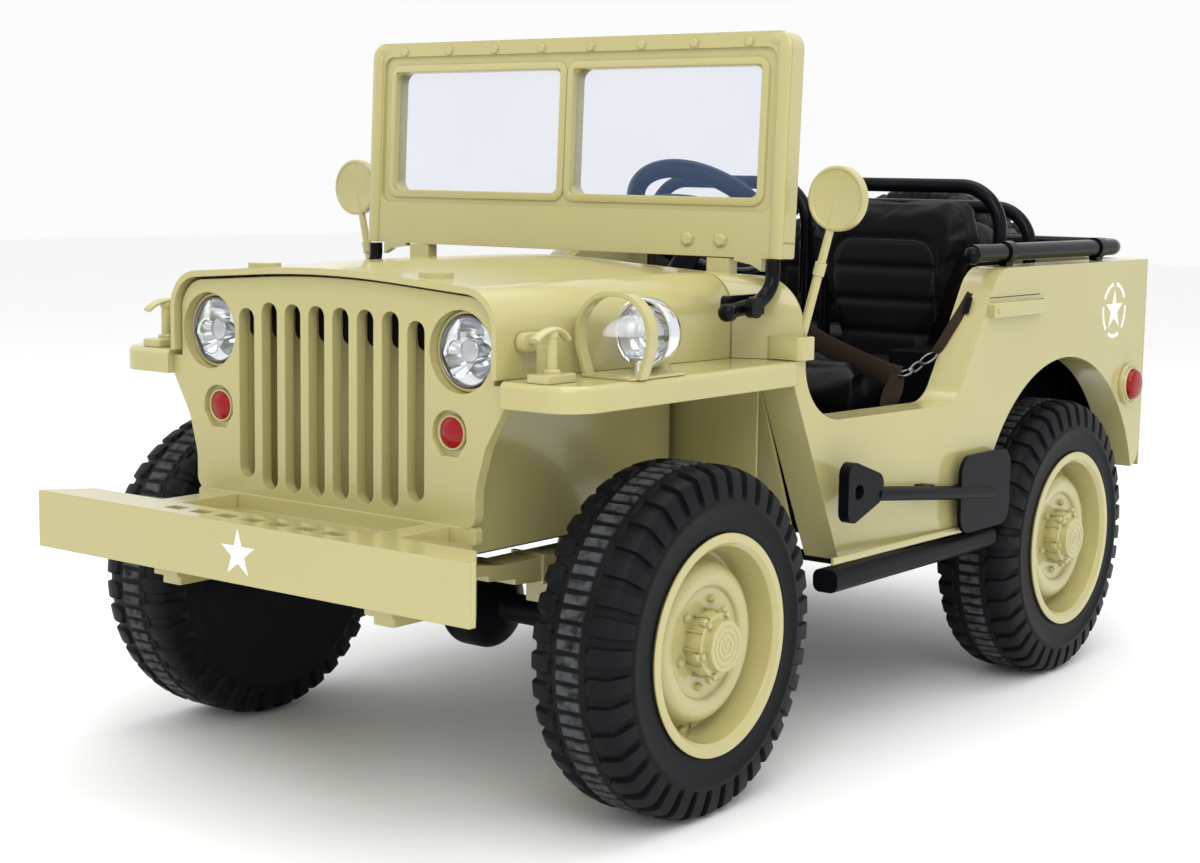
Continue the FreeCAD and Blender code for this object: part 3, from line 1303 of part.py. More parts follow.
def make_rear_rail():
    bar = tube("rail_tube", "XY_Plane", [
        (-S.rail_bar_track, ahead(S.rail_bar_front)),
        (-S.rail_bar_track, past(S.rail_bar_back), S.rail_bar_bend),
        (S.rail_bar_track, past(S.rail_bar_back), S.rail_bar_bend),
        (S.rail_bar_track, ahead(S.rail_bar_front)),
    ], S.rail_bar_height, S.rail_bar_radius, Y_AXIS)
    pieces = [bar]
    for side, across in (("left", S.rail_bar_track), ("right", -S.rail_bar_track)):
        for end, along in (("front", ahead(S.rail_clamp_front)),
                           ("rear", past(S.rail_clamp_rear))):
            name = "rail_clamp_%s_%s" % (side, end)
            pieces.append(rod(name, S.rail_clamp_radius, S.rail_clamp_length, across,
                              along, S.rail_bar_height, Y_AXIS))
            pieces.append(box(name + "_foot", across - S.rail_bar_radius / 2,
                              across + S.rail_bar_radius / 2, along,
                              along + S.rail_clamp_length, S.tub_top + S.seat_gap,
                              S.rail_bar_height))
    node("rear_rail", fused("rear_rail", pieces))


def make_mirrors():
    flare = S.cowl_half_width - S.hood_rear_half
    seam = S.hood_back + S.hood_seam
    slope = flare.value / (S.cowl_back - seam).value
    inner = S.hood_rear_half + (S.mirror_box_front - seam) * slope + S.seat_gap * 3
    bracket = new_body("mirror_bracket")
    pad(bracket, "mirror_bracket_block", "XY_Plane", [[
        (inner, behind(S.mirror_box_front)),
        (S.mirror_box_outer, behind(S.mirror_box_front)),
        (S.mirror_box_outer, behind(S.mirror_box_back)),
        (S.cowl_half_width + S.seat_gap, behind(S.mirror_box_back)),
        (S.cowl_half_width + S.seat_gap, behind(S.cowl_back)),
    ]], S.mirror_box_bottom, S.mirror_box_top)
    disc_x = S.mirror_reach - S.mirror_radius
    disc = rod("mirror_disc", S.mirror_radius, S.mirror_wall, disc_x,
               behind(S.mirror_behind) - S.mirror_wall / 2, S.mirror_height, Y_AXIS)
    across = disc_x - S.mirror_arm_foot
    up = S.mirror_height - S.mirror_box_top
    lean = FreeCAD.Vector(amount(across), 0, amount(up))
    arm = rod("mirror_arm", S.mirror_arm_radius, Length(lean.Length, repr(lean.Length)),
              S.mirror_arm_foot, behind(S.mirror_behind), S.mirror_box_top, lean)
    mirror_left = fused("mirror_left", [bracket, disc, arm])
    node("mirrors", both_sides("mirrors", mirror_left))


def make_spotlight():
    place = behind(S.spot_behind)
    lamp = new_body("spot_body")
    radius = S.spot_radius
    turn(lamp, "spot_round", "XZ_Plane", [
        (0, -S.spot_depth / 2), (radius / 2, -S.spot_depth / 2, radius / 4),
        (radius, S.spot_depth / 4, radius / 2), (radius, S.spot_depth / 2),
        (0, S.spot_depth / 2),
    ], axis="V_Axis")
    shell = placed(group("spot_shell", [lamp]), S.spot_track, place, S.spot_height,
                   FreeCAD.Rotation(X_AXIS, 90))
    post = rod("spot_post_rod", S.spot_post,
               S.spot_height - S.spot_radius / 2 - S.fender_top - S.seat_gap,
               S.spot_track, place, S.fender_top + S.seat_gap)
    node("spotlight", fused("spotlight", [shell, post]))
    half = S.hoop_half_width
    foot = S.hoop_foot
    low = S.fender_top + S.seat_gap
    waist = (S.fender_top + S.hoop_top) / 2 - foot / 3
    strap = []
    for wall in (0, S.hoop_wall):
        reach = half - wall
        strap.append([
            (S.hoop_track - foot + wall, low),
            (S.hoop_track - reach, waist, foot),
            (S.hoop_track - reach, S.hoop_top - wall, reach * 0.9),
            (S.hoop_track + reach, S.hoop_top - wall, reach * 0.9),
            (S.hoop_track + reach, waist, foot),
            (S.hoop_track + foot - wall, low),
        ])
    hoop = new_body("hoop_strap")
    pad(hoop, "hoop_sheet", "XZ_Plane", [strap[0] + list(reversed(strap[1]))],
        behind(S.hoop_behind), behind(S.hoop_behind) + S.hoop_depth)
    node("spotlight_guard", hoop)


def make_latches():
    place = behind(S.latch_behind)
    foot = rod("latch_foot_disc", S.latch_foot, S.latch_radius, S.latch_track, place,
               S.fender_top + S.seat_gap)
    stem = rod("latch_stem", S.latch_radius, S.latch_top - S.fender_top - S.seat_gap,
               S.latch_track, place, S.fender_top + S.seat_gap)
    handle = rod("latch_bar", S.latch_radius, S.latch_handle, S.latch_track,
                 place - S.latch_handle / 2, S.latch_top, Y_AXIS)
    latch = fused("latch_left", [foot, stem, handle])
    node("hood_latches", both_sides("hood_latches", latch))


def make_side_lamps():
    seat = S.tub_half_width + S.seat_gap
    lamp = new_body("side_lamp_body")
    turn(lamp, "side_lamp_round", "XZ_Plane", [
        (0, 0), (0, S.side_lamp_ring), (S.side_lamp_base, S.side_lamp_ring),
        (S.side_lamp_base, S.side_lamp_radius),
        (S.side_lamp_proud, S.side_lamp_radius, S.side_lamp_base / 2), (S.side_lamp_proud, 0),
    ])
    left = placed(group("side_lamp_left", [lamp]), seat, past(S.side_lamp_behind),
                  S.side_lamp_height)
    node("side_lamps", both_sides("side_lamps", left))


# Steps, shovel, spare carrier and battery

def make_steps():
    body = new_body("step_body")
    inner = S.step_outer - S.step_width
    pad(body, "step_bar", "XZ_Plane", [rectangle(
        inner, S.step_outer, S.step_low, S.step_high, S.step_corner)],
        behind(S.step_front), ahead(S.step_back))
    rail = S.rail_track + S.rail_half_width + S.seat_gap
    for name, along in (("front", behind(S.step_front + S.step_bracket_inset)),
                        ("rear", ahead(S.arch_step + S.step_bracket_inset))):
        pad(body, "step_bracket_" + name, "XY_Plane", [rectangle(
            rail, inner + S.step_corner, along, along + S.step_bracket_width)],
            S.rail_rear_bottom, S.step_high)
    node("side_steps", both_sides("side_steps", body))


def make_shovel():
    """Grip, shaft and blade lie in one plane just off the tub's side."""
    near = S.tub_half_width + S.shovel_clear
    grip = new_body("shovel_grip")
    middle = (S.grip_low + S.grip_high) / 2
    bar = S.grip_bar
    pad(grip, "grip_block", "YZ_Plane", [[
        (behind(S.grip_front), S.grip_low, bar),
        (behind(S.grip_back), middle - bar, bar),
        (behind(S.grip_back), middle + bar, bar),
        (behind(S.grip_front), S.grip_high, bar),
    ]], near, near + S.grip_wall)
    cut(grip, "grip_loop", "YZ_Plane", [[
        (behind(S.grip_front) + bar, S.grip_low + bar * 2, bar / 2),
        (behind(S.grip_back) - bar * 2, middle, bar / 2),
        (behind(S.grip_front) + bar, S.grip_high - bar * 2, bar / 2),
    ]], near - S.overrun, near + S.grip_wall + S.overrun)
    run = S.shaft_back - S.shaft_front
    fall = S.shaft_back_height - S.shaft_front_height
    direction = FreeCAD.Vector(0, amount(run), amount(fall))
    shaft = rod("shovel_shaft", S.shaft_radius, Length(direction.Length, repr(direction.Length)),
                near + S.grip_wall / 2, behind(S.shaft_front), S.shaft_front_height, direction)
    blade = new_body("shovel_blade")
    pad(blade, "blade_sheet", "YZ_Plane", [rectangle(
        behind(S.blade_front), behind(S.blade_back), S.blade_height - S.blade_half_width,
        S.blade_height + S.blade_half_width, S.blade_corner)],
        near + S.grip_wall / 2, near + S.grip_wall / 2 + S.blade_wall)
    clips = []
    for name, along in (("front", S.clip_front), ("rear", S.clip_rear)):
        share = (along - S.shaft_front) / run
        height = S.shaft_front_height + fall * amount(share)
        clip = box("shovel_clip_" + name, near - S.clip_reach, near + S.grip_wall / 2,
                   behind(along), behind(along) + S.clip_width,
                   height - S.shaft_radius, height + S.shaft_radius)
        clips.append(without("shovel_clip_seated_" + name, clip, NODES["tub_side_left"]))
    node("shovel", fused("shovel", [grip, shaft, blade] + clips))


def make_carrier():
    """Hub on the tail panel with a bolt through the spare wheel and a round hand nut."""
    start = TAIL + S.seat_gap
    flange = TAIL + S.spare_gap + S.tyre_half_width + S.flange_proud + S.seat_gap
    hub = rod("carrier_hub", S.carrier_radius,
              S.spare_gap + S.rim_proud * 2 - S.seat_gap * 2,
              S.spare_track, start, S.spare_height, Y_AXIS)
    bolt = rod("carrier_bolt", S.spindle_radius, flange - start + S.carrier_nut_wall / 2,
               S.spare_track, start, S.spare_height, Y_AXIS)
    nut = rod("carrier_nut", S.cap_radius, S.carrier_nut_wall,
              S.spare_track, flange, S.spare_height, Y_AXIS)
    node("spare_carrier", fused("spare_carrier", [hub, bolt, nut]))


def make_battery():
    low = S.rail_rear_top + S.seat_gap
    node("battery", box("battery", -S.battery_half_width, S.battery_half_width,
                        ahead(S.battery_front), ahead(S.battery_back),
                        low, low + S.battery_height))


make_wheels()
make_axles()
make_knuckles()
make_chassis()
make_leaf_springs()
make_bumper()
make_grille()
make_backing()
make_headlamps()
make_markers()
make_fenders()
make_engine_bay()
make_hood()
make_cowl()
make_dashboard()
make_tub_sides()
make_floor()
make_tail()
make_windshield()
make_screen_arms()
make_pivots()
make_steering_wheel()
make_seats()
make_bench()
make_rear_rail()
make_mirrors()
make_spotlight()
make_latches()
make_side_lamps()
make_steps()
make_shovel()
make_carrier()
make_battery()
document.recompute()

faults = []
for thing in document.Objects:
    if "Invalid" in thing.State or "Error" in thing.State:
        faults.append("%s: %s" % (thing.Name, thing.State))
for name, thing in NODES.items():
    if thing.Shape.isNull() or not thing.Shape.isValid() or not thing.Shape.Solids:
        faults.append("%s: no valid solid" % name)
if faults:
    raise RuntimeError("\n".join(faults))
for name, thing in NODES.items():
    thing.Shape.exportStep(os.path.join("parts", name + ".step"))
    print(name, len(thing.Shape.Solids), round(thing.Shape.Volume))
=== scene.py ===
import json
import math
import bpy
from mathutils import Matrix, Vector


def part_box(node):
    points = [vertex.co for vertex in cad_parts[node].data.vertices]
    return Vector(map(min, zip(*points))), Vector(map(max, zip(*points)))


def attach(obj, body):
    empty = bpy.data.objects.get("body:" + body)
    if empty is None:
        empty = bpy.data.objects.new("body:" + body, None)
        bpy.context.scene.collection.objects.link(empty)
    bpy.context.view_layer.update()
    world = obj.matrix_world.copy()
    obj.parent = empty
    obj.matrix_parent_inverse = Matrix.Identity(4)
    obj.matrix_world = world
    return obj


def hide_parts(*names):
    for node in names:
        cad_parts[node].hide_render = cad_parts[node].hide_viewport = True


bl_info = {
    "name": "Ride-on car finish",
    "version": (1, 0, 0),
    "blender": (4, 5, 0),
    "location": "View3D > Sidebar > Ride-on Car",
    "description": "Finishes, padded seats, tyres and trim of a ride-on toy car",
    "category": "Object",
}

import bmesh
import bpy
import numpy as np
from bpy.props import FloatProperty, FloatVectorProperty, IntProperty, PointerProperty
from bpy.types import Operator, Panel, PropertyGroup
from mathutils import Matrix, Vector
from mathutils.bvhtree import BVHTree

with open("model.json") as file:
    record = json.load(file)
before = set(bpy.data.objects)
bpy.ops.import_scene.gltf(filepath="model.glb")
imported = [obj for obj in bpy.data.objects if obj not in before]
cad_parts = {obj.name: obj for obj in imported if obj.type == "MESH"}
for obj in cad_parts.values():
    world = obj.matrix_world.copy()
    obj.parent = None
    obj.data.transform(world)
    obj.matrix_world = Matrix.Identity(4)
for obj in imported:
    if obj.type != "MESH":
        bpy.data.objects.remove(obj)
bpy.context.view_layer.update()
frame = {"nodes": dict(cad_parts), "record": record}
FRONT_AXLE = -0.478
WHEELS = ("front_left", "front_right", "rear_left", "rear_right")
MILLI = 0.001
ORIGIN = (0, 0, 0)
UPRIGHT = np.eye(3)
FACES_FRONT = np.array(((1, 0, 0), (0, 0, -1), (0, 1, 0)), float)
SIDES = (("left", 1), ("right", -1))
SIDE_FACE = 0.3825
FINISHES = {}
# Finishes of their own whose pieces belong to another finish's slot in the record
GLOSS_NODES = ("rear_rail", "windshield_arms", "windshield_pivots", "steering_wheel",
               "front_seat_frames", "rear_seat_frame")


# Meshes

def spin_turn(axis, angle):
    """The 3 x 3 matrix that turns by an angle about a coordinate axis."""
    c, s = math.cos(angle), math.sin(angle)
    rows = {
        "X": ((1, 0, 0), (0, c, -s), (0, s, c)),
        "Y": ((c, 0, s), (0, 1, 0), (-s, 0, c)),
        "Z": ((c, -s, 0), (s, c, 0), (0, 0, 1)),
    }
    return np.array(rows[axis])


def grid_faces(rows, columns, wrap_rows, wrap_columns):
    """Quads between neighbours of a rows x columns grid of points, numbered row by row."""
    r = np.arange(rows if wrap_rows else rows - 1)
    c = np.arange(columns if wrap_columns else columns - 1)
    r, c = np.meshgrid(r, c, indexing="ij")
    r2, c2 = (r + 1) % rows, (c + 1) % columns
    quads = np.stack([r * columns + c, r * columns + c2, r2 * columns + c2, r2 * columns + c], -1)
    return quads.reshape(-1, 4)


class Shape:
    """Points and faces of a piece in the making, in metres."""

    def __init__(self):
        self.points, self.faces, self.count = [], [], 0

    def add(self, points, faces):
        points = np.asarray(points, float).reshape(-1, 3)
        self.faces += [[int(i) + self.count for i in face] for face in faces]
        self.points.append(points)
        self.count += len(points)
        return self

    def grid(self, points, wrap_rows=False, wrap_columns=False, caps=False):
        """A surface given as rows x columns x 3 points; caps close its first and last row."""
        rows, columns = points.shape[:2]
        faces = grid_faces(rows, columns, wrap_rows, wrap_columns).tolist()
        if caps:
            faces.append(list(range(columns))[::-1])
            faces.append([(rows - 1) * columns + i for i in range(columns)])
        return self.add(points, faces)

    def turned(self, profile, centre, axis="X", count=48, closed=False):
        """A profile of (along the axis, radius) turned round the axis through a centre."""
        profile = np.asarray(profile, float)
        angle = np.linspace(0, 2 * math.pi, count, endpoint=False)
        along = np.repeat(profile[:, :1], count, 1)
        first = profile[:, 1:] * np.cos(angle)
        second = profile[:, 1:] * np.sin(angle)
        order = {"X": (along, first, second), "Y": (second, along, first),
                 "Z": (first, second, along)}
        points = np.stack(order[axis], -1) + np.asarray(centre, float)
        return self.grid(points, wrap_rows=closed, wrap_columns=True, caps=not closed)

    def swept(self, outline, route, across, closed=False):
        """An outline of (across, up) carried along a route; across is its sideways direction."""
        outline, route = np.asarray(outline, float), np.asarray(route, float)
        ahead = np.gradient(route, axis=0)
        if closed:
            ahead = np.roll(route, -1, 0) - np.roll(route, 1, 0)
        ahead /= np.linalg.norm(ahead, axis=1, keepdims=True)
        side = np.broadcast_to(np.asarray(across, float), route.shape)
        side = side - ahead * np.sum(side * ahead, 1, keepdims=True)
        side /= np.linalg.norm(side, axis=1, keepdims=True)
        up = np.cross(side, ahead)
        points = (route[:, None] + side[:, None] * outline[None, :, :1]
                  + up[:, None] * outline[None, :, 1:])
        return self.grid(points, wrap_rows=closed, wrap_columns=True, caps=not closed)

    def sheet(self, outer, inner):
        """Two grids of points joined along their four borders into one thin closed sheet."""
        rows, columns = outer.shape[:2]
        faces = grid_faces(rows, columns, False, False).tolist()
        total = rows * columns
        border = ([(0, c) for c in range(columns)] + [(r, columns - 1) for r in range(1, rows)]
                  + [(rows - 1, c) for c in range(columns - 2, -1, -1)]
                  + [(r, 0) for r in range(rows - 2, 0, -1)])
        ring = [r * columns + c for r, c in border]
        around = list(zip(ring, ring[1:] + ring[:1]))
        faces += [[i + total for i in face[::-1]] for face in faces]
        faces += [[a, b, b + total, a + total] for a, b in around]
        return self.add(np.concatenate([outer.reshape(-1, 3), inner.reshape(-1, 3)]), faces)

    def prism(self, outline, centre, turn, depth, edge=0.0):
        """A flat outline given thickness along its own third axis, with a small bevelled top."""
        outline = np.asarray(outline, float)
        middle = outline.mean(0)
        inner = middle + (outline - middle) * (1 - edge)
        rings = [(outline, 0), (outline, depth * (1 - edge)), (inner, depth)]
        points = np.stack([np.column_stack([o, np.full(len(o), z)]) for o, z in rings])
        points = points @ np.asarray(turn, float).T + np.asarray(centre, float)
        return self.grid(points, wrap_columns=True, caps=True)

    def moved(self, turn, centre):
        """All points turned by a matrix and then moved."""
        self.points = [p @ np.asarray(turn, float).T + np.asarray(centre, float)
                       for p in self.points]
        return self


def ring_of(count, radius, start=0.0):
    """Corners of a regular outline, or a circle where the count is high."""
    angle = start + np.linspace(0, 2 * math.pi, count, endpoint=False)
    return np.column_stack([np.cos(angle), np.sin(angle)]) * radius


def rounded_box(half_width, half_height, radius, steps=5):
    """Outline of a rectangle whose corners are quarter circles."""
    corners = []
    for number, (sx, sy) in enumerate(((1, 1), (-1, 1), (-1, -1), (1, -1))):
        angle = math.pi / 2 * number + np.linspace(0, math.pi / 2, steps)
        centre = (sx * (half_width - radius), sy * (half_height - radius))
        corners.append(np.column_stack([np.cos(angle), np.sin(angle)]) * radius + centre)
    return np.concatenate(corners)


def smooth_route(points, count, closed=False):
    """A Catmull-Rom curve through the points: each span blends its four nearest points."""
    p = np.asarray(points, float)
    if closed:
        q = np.concatenate([p[-1:], p, p[:2]])
        spans = len(p)
    else:
        q = np.concatenate([2 * p[:1] - p[1:2], p, 2 * p[-1:] - p[-2:-1]])
        spans = len(p) - 1
    t = np.linspace(0, spans, count, endpoint=not closed)
    i = np.minimum(t.astype(int), spans - 1)
    u = (t - i)[:, None]
    a, b, c, d = q[i], q[i + 1], q[i + 2], q[i + 3]
    return 0.5 * (2 * b + (c - a) * u + (2 * a - 5 * b + 4 * c - d) * u ** 2
                  + (3 * b - a - 3 * c + d) * u ** 3)


def cleaned(mesh, weld=0.0):
    """Joins points that lie closer than the weld and turns every face outwards."""
    model = bmesh.new()
    model.from_mesh(mesh)
    if weld:
        bmesh.ops.remove_doubles(model, verts=model.verts, dist=weld)
    bmesh.ops.recalc_face_normals(model, faces=model.faces)
    model.to_mesh(mesh)
    model.free()


def linked(name, data):
    """A new object of that name in the scene."""
    thing = bpy.data.objects.new(name, data)
    bpy.context.scene.collection.objects.link(thing)
    return thing


def piece(name, shape, finish, smooth=35, bevel=0.0, replaces=(), body="car"):
    """Makes the mesh object of a piece, gives it its finish and puts it on its body."""
    mesh = bpy.data.meshes.new(name)
    mesh.from_pydata(np.concatenate(shape.points).tolist(), [], shape.faces)
    cleaned(mesh, 1e-6)
    return dressed(linked(name, mesh), finish, smooth, bevel, replaces, body)


def dressed(thing, finish, smooth=35, bevel=0.0, replaces=(), body="car"):
    """Gives an object its finish, edges and body, and hides the nodes that it stands for."""
    thing.data.materials.clear()
    thing.data.materials.append(FINISHES[finish])
    if smooth:
        thing.data.shade_smooth()
        thing.data.set_sharp_from_angle(angle=math.radians(smooth))
    if bevel:
        rounding = thing.modifiers.new("edges", "BEVEL")
        rounding.width = bevel
        rounding.segments = 2
        rounding.limit_method = "ANGLE"
    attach(thing, body)
    if replaces:
        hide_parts(*replaces)
    return thing


def box_of(node):
    """The lowest and the highest corner of a node."""
    low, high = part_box(node)
    return np.array(low), np.array(high)


def middle_of(node):
    low, high = box_of(node)
    return (low + high) / 2


def outwards(sign):
    """The turn that points local +Z out of one side of the car, and local +Y up."""
    return np.array(((0, 0, sign), (sign, 0, 0), (0, 1, 0)), float)


def lathe(profile, count=64, closed=False):
    """A profile of (along, radius) in millimetres turned round local Z."""
    return Shape().turned(np.array(profile, float) * MILLI, ORIGIN, "Z", count, closed)


# Finishes

class Wire:
    """A node's output; arithmetic on it adds Math nodes."""

    def __init__(self, finish, socket):
        self.finish, self.socket = finish, socket

    def math(self, operation, other):
        return self.finish.node("ShaderNodeMath", {"operation": operation},
                                {0: self, 1: other})

    def __add__(self, other):
        return self.math("ADD", other)

    def __mul__(self, other):
        return self.math("MULTIPLY", other)


class Finish:
    """A material whose principled shader is fed by nodes made with one method."""

    def __init__(self, name, **steady):
        self.material = bpy.data.materials.new(name)
        self.material.use_nodes = True
        self.tree = self.material.node_tree
        self.shader = next(n for n in self.tree.nodes if n.type == "BSDF_PRINCIPLED")
        for key, value in steady.items():
            self.shader.inputs[key.replace("_", " ").title().replace("Ior", "IOR")
                               ].default_value = value
        self.place = self.node("ShaderNodeTexCoord", output="Object")

    def node(self, kind, settings=None, values=None, output=0):
        made = self.tree.nodes.new(kind)
        for key, value in (settings or {}).items():
            setattr(made, key, value)
        for key, value in (values or {}).items():
            socket = made.inputs[key]
            if isinstance(value, Wire):
                self.tree.links.new(value.socket, socket)
            else:
                socket.default_value = value
        return Wire(self, made.outputs[output])

    def noise(self, scale, detail=3.0, rough=0.5):
        return self.node("ShaderNodeTexNoise", None, {
            "Vector": self.place, "Scale": scale, "Detail": detail, "Roughness": rough})

    def mix(self, share, first, second):
        return self.node("ShaderNodeMix", {"data_type": "RGBA"},
                         {0: share, 6: first, 7: second}, output=2)

    def ramp(self, value, low, high):
        """0 below low, 1 above high and a smooth rise between."""
        return self.node("ShaderNodeMapRange", {"interpolation_type": "SMOOTHSTEP"},
                         {"Value": value, "From Min": low, "From Max": high})

    def bump(self, height, strength, distance, normal=None):
        values = {"Height": height, "Strength": strength, "Distance": distance}
        if normal is not None:
            values["Normal"] = normal
        return self.node("ShaderNodeBump", None, values)

    def feed(self, **wires):
        for key, wire in wires.items():
            self.tree.links.new(wire.socket, self.shader.inputs[key.replace("_", " ").title()])
        return self.material


def shade(colour, factor):
    return tuple(min(1.0, c * factor) for c in colour[:3]) + (1.0,)


def moulded_gloss(name, colour):
    """Glossy moulded plastic with faint flow marks and a slightly uneven surface."""
    finish = Finish(name, coat_weight=0.35, coat_roughness=0.08, specular_ior_level=0.5)
    flow = finish.noise(7.0, 4.0)
    fine = finish.noise(160.0, 2.0)
    tint = finish.mix(finish.ramp(flow, 0.35, 0.7), shade(colour, 0.985), shade(colour, 1.015))
    rough = finish.ramp(flow, 0.3, 0.7) * 0.05 + fine * 0.06 + 0.15
    rounded = finish.node("ShaderNodeBevel", {"samples": 4}, {"Radius": 1.6 * MILLI})
    normal = finish.bump(fine, 0.04, 0.5 * MILLI, rounded)
    normal = finish.bump(finish.noise(26.0, 1.0), 0.08, 1.0 * MILLI, normal)
    return finish.feed(base_color=tint, roughness=rough, normal=normal)


def moulded_grain(name, colour, rough, grain=1300.0, strength=0.35, shine=0.07):
    """Dark moulded plastic with a fine spark-eroded grain and faint scuffs."""
    finish = Finish(name, specular_ior_level=shine)
    flow = finish.noise(14.0, 4.0)
    grains = finish.noise(grain, 2.0)
    scuffs = finish.ramp(finish.noise(60.0, 6.0, rough=0.7), 0.62, 0.75)
    tint = finish.mix(finish.ramp(flow, 0.3, 0.7), shade(colour, 0.8), shade(colour, 1.25))
    tint = finish.mix(scuffs * 0.2, tint, shade(colour, 1.8))
    roughness = flow * 0.12 + scuffs * 0.08 + (rough - 0.06)
    rounded = finish.node("ShaderNodeBevel", {"samples": 4}, {"Radius": 1.0 * MILLI})
    normal = finish.bump(grains, strength, 0.25 * MILLI, rounded)
    return finish.feed(base_color=tint, roughness=roughness, normal=normal)


# Grey of the middle bars' tops: scuffs and a painted highlight.
WORN_AND_HIGHLIGHT_GREY = (0.075, 0.08, 0.085, 1.0)


def tyre_plastic(name, colour):
    """Hard black tyre plastic; the tops of the tread's middle bars are painted grey, partly as
    scuffs and partly as a painted highlight.
    """
    finish = Finish(name, specular_ior_level=0.10)
    # Mask of the middle bars' tops, where scuffs and a painted highlight lighten the tyre.
    worn = finish.node("ShaderNodeAttribute", {"attribute_name": "wear_and_highlight"}, output="Fac")
    patchy = finish.ramp(finish.noise(90.0, 4.0), 0.25, 0.65)
    flow = finish.noise(18.0, 3.0)
    tint = finish.mix(flow, shade(colour, 0.75), shade(colour, 1.35))
    # The bar tops are painted grey, partly as wear and partly as a painted highlight.
    tint = finish.mix(worn * patchy * 0.9, tint, WORN_AND_HIGHLIGHT_GREY)
    roughness = flow * 0.12 + worn * 0.1 + 0.42
    normal = finish.bump(finish.noise(1500.0, 2.0), 0.3, 0.2 * MILLI)
    return finish.feed(base_color=tint, roughness=roughness, normal=normal)


def seat_cloth(name, colour):
    """Black imitation leather: cells of grain with creases, and a soft sheen."""
    finish = Finish(name, specular_ior_level=0.16)
    cells = finish.node("ShaderNodeTexVoronoi", {"feature": "DISTANCE_TO_EDGE"},
                        {"Vector": finish.place, "Scale": 620.0})
    folds = finish.noise(24.0, 5.0, rough=0.6)
    tint = finish.mix(folds, shade(colour, 0.8), shade(colour, 1.3))
    roughness = folds * 0.14 + 0.36
    normal = finish.bump(finish.ramp(cells, 0.0, 0.12), 0.2, 0.2 * MILLI)
    normal = finish.bump(folds, 0.12, 1.2 * MILLI, normal)
    return finish.feed(base_color=tint, roughness=roughness, normal=normal)


def webbing(name, colour):
    """Woven strap: ribs across its width from its own map, darker between them."""
    finish = Finish(name, specular_ior_level=0.1)
    where = finish.node("ShaderNodeTexCoord", output="UV")
    ribs = finish.node("ShaderNodeTexWave", {"bands_direction": "Y"}, {
        "Vector": where, "Scale": 95.0, "Distortion": 0.6, "Detail": 1.0})
    lines = finish.node("ShaderNodeTexWave", {"bands_direction": "X"}, {
        "Vector": where, "Scale": 30.0, "Distortion": 0.4, "Detail": 1.0})
    weave = ribs * 0.6 + lines * 0.4
    tint = finish.mix(weave, shade(colour, 0.6), shade(colour, 1.3))
    normal = finish.bump(weave, 0.6, 0.5 * MILLI)
    return finish.feed(base_color=tint, roughness=ribs * 0.1 + 0.7, normal=normal)


def clear_plastic(name, colour):
    """Clear hard plastic with a faint waviness."""
    finish = Finish(name, base_color=colour, transmission_weight=1.0, ior=1.46)
    faint = finish.noise(40.0, 3.0)
    normal = finish.bump(faint, 0.03, 1.0 * MILLI)
    return finish.feed(roughness=faint * 0.05 + 0.02, normal=normal)


def hazy_pane(name, colour):
    """Bluish pane that mostly lets what is behind it through, with faint swirls in its haze."""
    finish = Finish(name, base_color=colour, specular_ior_level=0.8)
    swirl = finish.noise(9.0, 3.0)
    return finish.feed(alpha=swirl * 0.05 + 0.085, roughness=swirl * 0.05 + 0.04)


def milky_visor(name, colour):
    """Half clear, slightly milky plastic."""
    finish = Finish(name, base_color=colour)
    cloud = finish.noise(30.0, 2.0)
    return finish.feed(alpha=cloud * 0.1 + 0.24, roughness=cloud * 0.08 + 0.12)


def plated(name, colour, rough):
    """Vacuum-plated bowl with faint ripples."""
    finish = Finish(name, base_color=colour, metallic=1.0)
    ripple = finish.noise(120.0, 2.0)
    return finish.feed(roughness=ripple * 0.08 + rough,
                       normal=finish.bump(ripple, 0.12, 0.5 * MILLI))


def printed_film(name, colour):
    """White screen print with slightly worn ink."""
    finish = Finish(name)
    worn = finish.ramp(finish.noise(300.0, 4.0), 0.66, 0.74)
    tint = finish.mix(worn * 0.5, shade(colour, 1.0), shade(colour, 0.86))
    return finish.feed(base_color=tint, roughness=worn * 0.2 + 0.3)


def red_lens(name, colour):
    """Red lens plastic with fine moulded ribs."""
    finish = Finish(name, coat_weight=0.12, coat_roughness=0.05, specular_ior_level=0.25)
    ribs = finish.node("ShaderNodeTexWave", {"bands_direction": "Z"},
                       {"Vector": finish.place, "Scale": 60.0, "Distortion": 0.0})
    tint = finish.mix(ribs * 0.3, shade(colour, 0.8), shade(colour, 1.1))
    return finish.feed(base_color=tint, roughness=ribs * 0.05 + 0.12,
                       normal=finish.bump(ribs, 0.08, 0.4 * MILLI))


class CarColours(PropertyGroup):
    """Colours of the finishes."""

    sand: FloatVectorProperty(name="Body", description="Colour of the body plastic",
                              subtype="COLOR", size=3, default=(0.46, 0.415, 0.178))
    black: FloatVectorProperty(name="Frame", description="Colour of the dark plastic",
                               subtype="COLOR", size=3, default=(0.0035, 0.004, 0.006))
    tyre: FloatVectorProperty(name="Tyre", description="Colour of the tyre plastic",
                              subtype="COLOR", size=3, default=(0.006, 0.0065, 0.008))
    seat: FloatVectorProperty(name="Seat", description="Colour of the seat covers",
                              subtype="COLOR", size=3, default=(0.0032, 0.0032, 0.0048))
    belt: FloatVectorProperty(name="Belt", description="Colour of the belt webbing",
                              subtype="COLOR", size=3, default=(0.040, 0.026, 0.016))
    red: FloatVectorProperty(name="Lens", description="Colour of the red lenses",
                             subtype="COLOR", size=3, default=(0.33, 0.001, 0.004))


